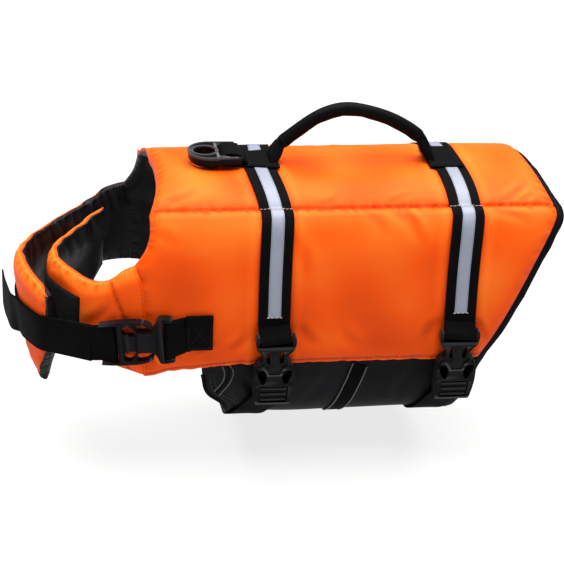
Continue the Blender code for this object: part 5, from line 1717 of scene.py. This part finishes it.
BELLY_LINE = smooth_line([(-y, z) for y, z in BELLY_CURVE] + [(y, z) for y, z in BELLY_CURVE[-2::-1]], 30)
BELLY_LENGTH = lengths_along(BELLY_LINE)
BELLY_WIDE = BELLY_LENGTH[-1]


def belly_section(length):
    """Point and outward normal (y, z) of the belly's outer face, from its left edge."""
    length = np.asarray(length, float)
    run = unit(along(BELLY_LINE, BELLY_LENGTH, length + 2) - along(BELLY_LINE, BELLY_LENGTH, length - 2))
    return along(BELLY_LINE, BELLY_LENGTH, length), point(run[..., 1], -run[..., 0])


def belly_field(x, length, front, rear):
    """Slack, pulls and quilting lines of the belly cloth, in millimetres outward."""
    hem = np.minimum(length, BELLY_WIDE - length)
    low = ease(hem, *BELLY_SLACK)
    field = 0.9 * wander(x, length, 41, 60) * low * ease(x - front, 4, 18) * ease(rear - x, 4, 14)
    field += creases(x, length, (
        (-98, 34, -84, 60, 3.4, 1.1), (-110, 46, -96, 78, 3.2, 0.9),
        (-30, 30, -48, 62, 4, 0.7), (36, 30, 26, 70, 4, 0.7),
        (56, 34, 66, 66, 3.2, 0.8), (-60, 110, 20, 118, 5, 0.6),
        (-98, BELLY_WIDE - 34, -80, BELLY_WIDE - 64, 3.4, 1),
        (40, BELLY_WIDE - 34, 24, BELLY_WIDE - 70, 4, 0.8)))
    for back in BELLY_ROWS:
        field += groove(x - front - back, 1.1, 0.7) * low
    return field


def make_belly():
    length = np.linspace(0, BELLY_WIDE, int(BELLY_WIDE / 1.6) + 1)[None, :]
    place = np.linspace(0, 1, 130)[:, None]
    at, normal = belly_section(length)
    front = table_value(BELLY_FRONT, at[..., 1])
    rear = table_value(REAR_EDGE, at[..., 1])
    x = front + (rear - front) * place
    field = belly_field(x, np.broadcast_to(length, x.shape), front, rear)
    out = point(0 * x, normal[..., 0], normal[..., 1])
    outer = point(x, at[..., 0], at[..., 1]) + (field - 0.5)[..., None] * out
    inner = outer - BELLY_CLOTH * out
    piece = padded_shell("belly_cloth_panel", outer, inner, point(x, length), 0 * x, 0 * x,
                         ("belly", "belly"), (0.4, 0.2, 0.1, 0.1), extra={"mesh_part": ease(x, -18, -14)})
    place_piece(piece, "belly_cloth", "belly_panel")
    rows = length[0]
    keep = np.where((rows > BELLY_ROW_END) & (rows < BELLY_WIDE - BELLY_ROW_END))[0]
    for back, kind in zip(BELLY_ROWS, ("grey_thread", "grey_thread", "black_thread")):
        points, normals = [], []
        for j in keep:
            i = nearest(x[:, j] - front[0, j], back)
            points.append(outer[i, j])
            normals.append(out[i, j])
        sew(kind, points, normals, 0.1)
    edge = outer[0, keep] - 0.5 * BELLY_CLOTH * out[0, keep]
    sides = np.tile((-1, 0, 0), (len(keep), 1))
    webbing("belly_front_edge", [], edge, sides, *BELLY_ROLL, "binding", 2.6, 0.05, "black_binding")


def on_belly(x, length):
    """A path just off the belly cloth, which follows its slack, and its outward normals."""
    at, normal = belly_section(length)
    lift = belly_field(x, length, table_value(BELLY_FRONT, at[:, 1]), table_value(REAR_EDGE, at[:, 1]))
    out = point(0, *normal.T)
    return point(x, *at.T) + (lift + 0.1)[:, None] * out, out


def make_belly_band():
    length = np.arange(24.5, BELLY_WIDE - 24, 2.5)
    side = np.minimum(length, BELLY_WIDE - length)
    path, out = on_belly(-4 - 14 * np.clip((side - 22) / 45, 0, 1.3), length)
    webbing("belly_band_webbing", ["belly_band"], path, out, *BELLY_BAND, pitch=1.8, depth=0.06)
    run = run_of(path)
    aside = np.cross(out, run)
    for share in (-1, 1):
        end = "front" if share * aside[0, 0] < 0 else "rear"
        webbing("belly_piping_" + end, [], path + share * 6 * aside + 0.5 * out, out, 1.1, 1.1,
                "grey_thread", 1.4, 0.04)


CORNER_LINES = ((((18, -117.5), (27, -113.5), (36, -114.5), (46, -121)), "grey_thread"),
                (((18, -114.8), (27, -110), (36.5, -111.5), (48, -119)), "binding"),
                (((18, -112), (27, -106.5), (37, -108.5), (50, -117)), "grey_thread"))


def make_belly_corners():
    """Three raised lines in each front corner of the belly cloth, by length across it and x."""
    for hand in ("left", "right"):
        for k, (line, kind) in enumerate(CORNER_LINES):
            length, x = smooth_line(line, 6).T
            path, out = on_belly(x, length if hand == "left" else BELLY_WIDE - length)
            webbing("belly_corner_%s_%d" % (hand, k + 1), [], path, out, 1, 1.1, kind, 1.3, 0.05)


def make_belly_straps():
    for name, x in BUCKLE_X.items():
        shift = BELLY_STRAP_SHIFT[name]
        origin, across, down, out = buckle_frame(x)
        back = 0.5 * SOCKET_THICK + 0.3 + WEB_HALF
        lead = [origin + v * down - back * out for v in (44, 58)]
        length = np.arange(64, BELLY_WIDE - 25, 6)
        at, normal = belly_section(length)
        near = np.clip((length - 44) / 40, 0, 1)
        far = np.clip((BELLY_WIDE - length - 25) / 70, 0, 1)
        path = point(x + shift * np.minimum(near, far), *(at + BELLY_STRAP_LIFT * normal).T)
        path = np.vstack([[(x + 0.15 * shift * k, p[1], p[2]) for k, p in enumerate(lead)], path])
        run = run_of(path[:, 1:])
        normals = point(0, run[:, 1], -run[:, 0])
        webbing("belly_webbing_" + name, ["belly_strap_" + name], path, normals, GIRTH_WEB)


# Rear binding


def binding_ring():
    """Points round the rear opening, in the middle of the cloth's edge."""
    share = np.sin(np.linspace(-1, 1, 60) * 0.5 * math.pi)
    share = share[np.abs(share) < 0.992]
    foam = back_outer(share) - back_inner(share)
    edge = back_inner(share) + 0.5 * PINCH * unit(foam)
    over = point(back_rear_edge(share), *edge.T)
    length = np.linspace(1.5, float(side_length_at(HEM)) - 6, 50)
    at, normal = side_section(length)
    mid = at - (FOAM - 0.5 * PINCH) * normal
    side = point(table_value(REAR_EDGE, at[:, 1]), *mid.T)
    rows = np.linspace(0.5 * BELLY_WIDE + 1, BELLY_WIDE, 90)
    at, normal = belly_section(rows)
    low = at[:, 1] < BELLY_EDGE
    mid = (at - 1.5 * normal)[low]
    belly = point(table_value(REAR_EDGE, at[low, 1]), *mid.T)
    deepest = BELLY_CURVE[-1][1]
    bottom = [(table_value(REAR_EDGE, deepest), 0, deepest + 1.5)]
    right = np.vstack([side, belly[::-1]])
    left = right[::-1] * np.array([1, -1, 1])
    ring = np.vstack([over, right, bottom, left])
    ring = np.vstack([ring, ring[:1]])
    lengths = lengths_along(ring)
    even = np.linspace(0, lengths[-1], 361)[:-1]
    ring = along(ring, lengths, even)
    for _ in range(3):
        ring = (np.roll(ring, 1, axis=0) + 2 * ring + np.roll(ring, -1, axis=0)) / 4
    return ring


def make_binding():
    """Bound edge round the whole rear opening: tape folded over the cloth and sewn down."""
    ring = binding_ring()
    run = unit(np.roll(ring, -1, axis=0) - np.roll(ring, 1, axis=0))
    away = point(0, ring[:, 1], ring[:, 2] - RING_MIDDLE)
    out = square_to(run, away)
    out[:, 0] = 0
    out = unit(out)
    behind = unit(np.cross(run, out))
    behind *= np.where(behind[:, 0] < 0, -1, 1)[:, None]
    dice = np.random.default_rng(77)
    wave = np.interp(np.arange(len(ring)), np.arange(0, len(ring) + 6, 6),
                     dice.uniform(-1, 1, len(ring) // 6 + 1 + (len(ring) % 6 > 0)))
    points, uvs = [], []
    lengths = lengths_along(ring)
    for k, (p, b, o) in enumerate(zip(ring, behind, out)):
        pucker = 0.55 * wave[k]
        for m, (back, aside) in enumerate(BINDING_SECTION):
            loose = 0.9 * wave[(k * 2) % len(ring)] if back < -2 else 0
            stand = aside * (1 + 0.12 * wave[(k * 5 + m) % len(ring)])
            points.append(p + (0.4 + back + pucker + loose) * b + stand * o)
            uvs.append((lengths[k], 2 * m))
    faces = [(a, d, c, b) for a, b, c, d in tube_faces(len(ring), len(BINDING_SECTION), True)]
    piece = mesh_piece("edge_binding", points, faces, ("binding",), None, uvs)
    place_piece(piece, "black_binding", "rear_binding")
    for face in (out, -out):
        sew("black_thread", ring - 0.4 * behind + BINDING_STITCH * face, face, 0.1)


# Handle


def make_handle():
    """The padded sleeve, its two folded feet and the sewn patches under them."""
    line = smooth_line([(x, z + HANDLE_RISE) for x, z in HANDLE_LINE], 24)
    lengths = lengths_along(line)
    total = lengths[-1]
    at = np.linspace(0, total, 150)
    middle = along(line, lengths, at)
    run = run_of(middle)
    up = point(-run[:, 1], run[:, 0])
    turn = np.linspace(0, 2 * math.pi, 48, endpoint=False)
    s, a = np.meshgrid(at, turn, indexing="ij")
    end = np.minimum(s, total - s)
    radius = HANDLE_RADIUS * (0.8 + 0.2 * roll(end, 5))
    below = np.clip(-np.cos(a), 0, 1)
    radius = radius + 0.3 * wander(s, 9 * a, 61, 40) * ease(end, 2, 10)
    radius = radius + below * puckers(s, 12 * (1 - below), total, 62, 17, 12, 0.5)
    radius = radius - 0.5 * np.exp(-((np.abs(a - math.pi) * HANDLE_RADIUS) / 0.8) ** 2)
    points = point(middle[:, 0, None] + up[:, 0, None] * radius * np.cos(a), 1.04 * radius * np.sin(a),
                   middle[:, 1, None] + up[:, 1, None] * radius * np.cos(a))
    rows, wide = s.shape
    faces = tube_faces(rows, wide)
    flat = points.reshape(-1, 3)
    ends = [points[k].mean(axis=0) + out * point(run[k, 0], 0, run[k, 1])
            for k, out in ((0, -0.8), (-1, 0.8))]
    first, last = len(flat), len(flat) + 1
    faces += [(first, j, (j + 1) % wide) for j in range(wide)]
    faces += [(last, (rows - 1) * wide + (j + 1) % wide, (rows - 1) * wide + j) for j in range(wide)]
    uvs = np.vstack([point(s, a * HANDLE_RADIUS).reshape(-1, 2), [[0, 0], [total, 0]]])
    # Painted shading: lighter where the sleeve bulges, darker in its puckers and along its seam.
    painted_shadings = np.concatenate([np.clip((radius - HANDLE_RADIUS) * 0.5, -0.6, 0.5).ravel(), [0, 0]])
    sleeve = mesh_piece("handle_padding", np.vstack([flat, ends]), faces, ("handle",), None, uvs, painted_shadings)
    place_piece(sleeve, "handle_cloth", "handle_sleeve")
    for back in (3, total - 3):
        i = nearest(at, back)
        ring = np.vstack([points[i], points[i][:1]])
        around = point(up[i, 0] * np.cos(turn), np.sin(turn), up[i, 1] * np.cos(turn))
        sew("black_thread", ring, np.vstack([around, around[:1]]), 0.1)
    floor = CREST + WEB_THICK + TAPE_THICK
    for name, tip, inward in (("front", line[0], line[1]), ("rear", line[-1], line[-2])):
        make_foot(name, tip, unit(tip - inward), FOOT_X[name], floor)
    for name, (ends, halves) in HANDLE_PATCHES.items():
        make_base(name, ends, halves, floor)


def make_foot(name, tip, away, foot_x, floor):
    """Webbing folded together, from the sleeve's end down onto its patch."""
    foot = np.array([foot_x, floor + 0.7])
    knots = np.array([tip - 3 * away, tip + 0.5 * away, 0.5 * (tip + foot), foot])
    line = smooth_line(knots, 8)
    run = run_of(line)
    side = point(-run[:, 1], run[:, 0])
    share = np.linspace(0, 1, len(line))
    thin = np.interp(share, (0, 0.35, 0.7, 1), (3.8, 4.2, 4.4, 3))
    wide = np.interp(share, (0, 0.35, 0.7, 1), (4, 5.4, 10.6, 14.6))
    turn = np.linspace(0, 2 * math.pi, 36, endpoint=False)
    points, uvs = [], []
    lengths = lengths_along(line)
    for k, p in enumerate(line):
        for m, a in enumerate(turn):
            c, s = math.cos(a), math.sin(a)
            square = (abs(c) ** 5 + abs(s) ** 5) ** -0.2 if share[k] > 0.25 else 1
            fold = 1 - 0.22 * share[k] * math.exp(-(s * wide[k] / 2.2) ** 2)
            points.append((p[0] + side[k, 0] * thin[k] * c * square * fold, wide[k] * s * square,
                           p[1] + side[k, 1] * thin[k] * c * square * fold))
            uvs.append((lengths[k], wide[k] * s))
    count = len(turn)
    faces = tube_faces(len(line), count)
    faces += [tuple(range(count)), tuple(range(len(points) - count, len(points)))[::-1]]
    piece = mesh_piece("handle_fold_" + name, points, faces, ("webbing",), None, uvs)
    place_piece(piece, "black_webbing", "handle_foot_" + name)


def make_base(name, ends, halves, floor):
    """A webbing patch over the strap crossing, bent to the back and box stitched."""
    x, share = np.meshgrid(np.linspace(ends[0], ends[1], 30), np.linspace(-1, 1, 44), indexing="ij")
    half = np.interp(x, ends, halves)
    y = share * half
    drop = CREST - back_outer(y / SEAM_OUT[0])[..., 1]
    ribs = 0.06 * np.sin(y * math.pi)
    low = point(x, y, floor - drop - 0.1)
    high = point(x, y, floor - drop + 1.7 + ribs)
    edge = np.minimum(np.minimum(x - ends[0], ends[1] - x), half - np.abs(y))
    high[..., 2] -= 0.7 * (1 - roll(edge, 1.2))
    piece = padded_shell("handle_patch_" + name, high, low, point(y, x), 0 * x, 0 * x,
                         ("webbing", "webbing"), (0.3, 0.3, 0.3, 0.3))
    place_piece(piece, "black_webbing", "handle_base_" + name)
    box = [(3, 3), (26, 3), (26, 40), (3, 40), (3, 3)]
    points = np.vstack([along(np.array([high[a], high[b]]), (0, 1), np.linspace(0, 1, 12))
                        for a, b in zip(box, box[1:])])
    sew("black_thread", points + np.array([0, 0, 0.25]), np.tile((0, 0, 1), (len(points), 1)))


# Lead ring and its loop


def make_lead_ring():
    front, rear = RING_FRONT, RING_REAR
    x_axis, z_axis = RING_AXIS
    turn = np.radians(np.linspace(-90, 90, 31))
    round_end = [(front + RING_ROUND - RING_ROUND * math.cos(a) - x_axis, RING_HALF * math.sin(a))
                 for a in turn]
    slot_x, slot_y = RING_SLOT
    back = [(rear - 3, RING_HALF - 0.4), (rear - 0.6, 19.6), (rear, 18), (rear, slot_y),
            (slot_x, slot_y - 0.6)]
    back = [(x - x_axis, y) for x, y in back]
    outline = round_end + back + [(x, -y) for x, y in reversed(back)]
    hole_x, radius = RING_HOLE
    angles = np.linspace(0, 2 * math.pi, 44, endpoint=False)

    def oval(grow):
        return [(hole_x - x_axis + (radius + grow) * math.cos(t), (radius + grow) * 1.12 * math.sin(t))
                for t in angles]

    half = 0.5 * RING_THICK
    plates = [flat_plate([outline, oval(0)], -half, half - 1.2, 1.3)]
    skirt = [(0.93 * x - 0.9, 0.94 * y) for x, y in outline if x < hole_x - x_axis + radius + 4]
    plates.append(flat_plate([skirt, oval(0.5)], -half - RING_SKIRT, -half + 1, 0.9))
    edge = [(x * 0.985 - 0.25, y * 0.955) for x, y in round_end]
    edge_end = rear - 3 - x_axis
    edge = [(edge_end, -19.3)] + edge + [(edge_end, 19.3)]
    hole_back = hole_x - x_axis + radius + 1.2
    slot_front = slot_x - x_axis - 1.6
    lines = [edge, [(slot_front, -17.6), (slot_front, 17.6)]]
    for hand in (-1, 1):
        lines.append([(hole_back - 3, hand * 7.4), (hole_back + 0.5, hand * 9.2), (slot_front, hand * 13.6),
                      (slot_front + 9, hand * 17.6)])
    # The raised rims take a lighter finish: a painted highlight along them.
    raised = [flat_plate([oval(2.4), oval(0.1)], half - 2, half, 0.5)]
    raised += [flat_plate([thick_line(line, 2.1)], half - 2, half - 0.05 * k, 0.45)
               for k, line in enumerate(lines)]
    bar_half, bar_radius = RING_BAR
    plates.append(round_bar((0, -bar_half, 0), (0, bar_half, 0), bar_radius))
    matrix = Matrix.Translation(Vector((x_axis, 0, z_axis)) * MM)
    ring = moulded("ring_moulding", plates, matrix, "ring", raised, "ring_rim_painted_highlight")
    place_piece(ring, "black_plastic", "lead_ring", body="lead_ring")


def make_ring_loop():
    """Webbing through the ring and round its bar, sewn to the front handle patch."""
    path = np.array(RING_LOOP_LINE)
    run = run_of(path)
    normals = point(run[:, 1], 0, -run[:, 0])
    points = point(path[:, 0], 0, path[:, 1])
    webbing("ring_webbing", ["ring_loop"], points, normals, CHEST_WEB - 0.4, depth=0.06)


def lay_threads():
    """Every line of stitches that was sewn, one piece for each thread."""
    for kind, (pitch, long, thread, slot, _, _) in THREAD_LOOKS.items():
        piece = grown(kind + "_stitches", THREADS[kind], STITCH_TREE, {
            "Pitch": pitch * MM, "Stitch Length": long * MM, "Thread": thread * MM, "Seed": STITCH_SEED,
            "Finish": FINISHES[kind]})
        place_piece(piece, slot)


make_camera()
make_studio()
FINISHES = make_finishes()
STRIP_TREE = woven_strip_tree()
STITCH_TREE = stitch_tree()
make_back()
make_side("side_padding_left", "side_panel_left", -1, LEFT_HEM, LEFT_CREASES, 21)
make_side("side_padding_right", "side_panel_right", 1, RIGHT_HEM, RIGHT_CREASES, 31)
make_flap("inner_flap_padding", "chest_flap_left", left_flap_face, LEFT_FLAP_TURN,
          ((0, 0.12), (1, 0.16)), 51, True)
make_flap("outer_flap_padding", "chest_flap_right", right_flap_face, RIGHT_FLAP_TURN,
          ((0, 0.9), (0.05, 0.6), (0.3, 0.4), (0.5, 0.28), (0.66, 0.12), (0.93, 0.12), (1, 0.9)), 71, False)
make_flap_pile()
make_girth_straps()
make_girth_buckles()
make_chest_fastening()
make_belly()
make_belly_band()
make_belly_corners()
make_belly_straps()
make_binding()
make_handle()
make_lead_ring()
make_ring_loop()
lay_threads()
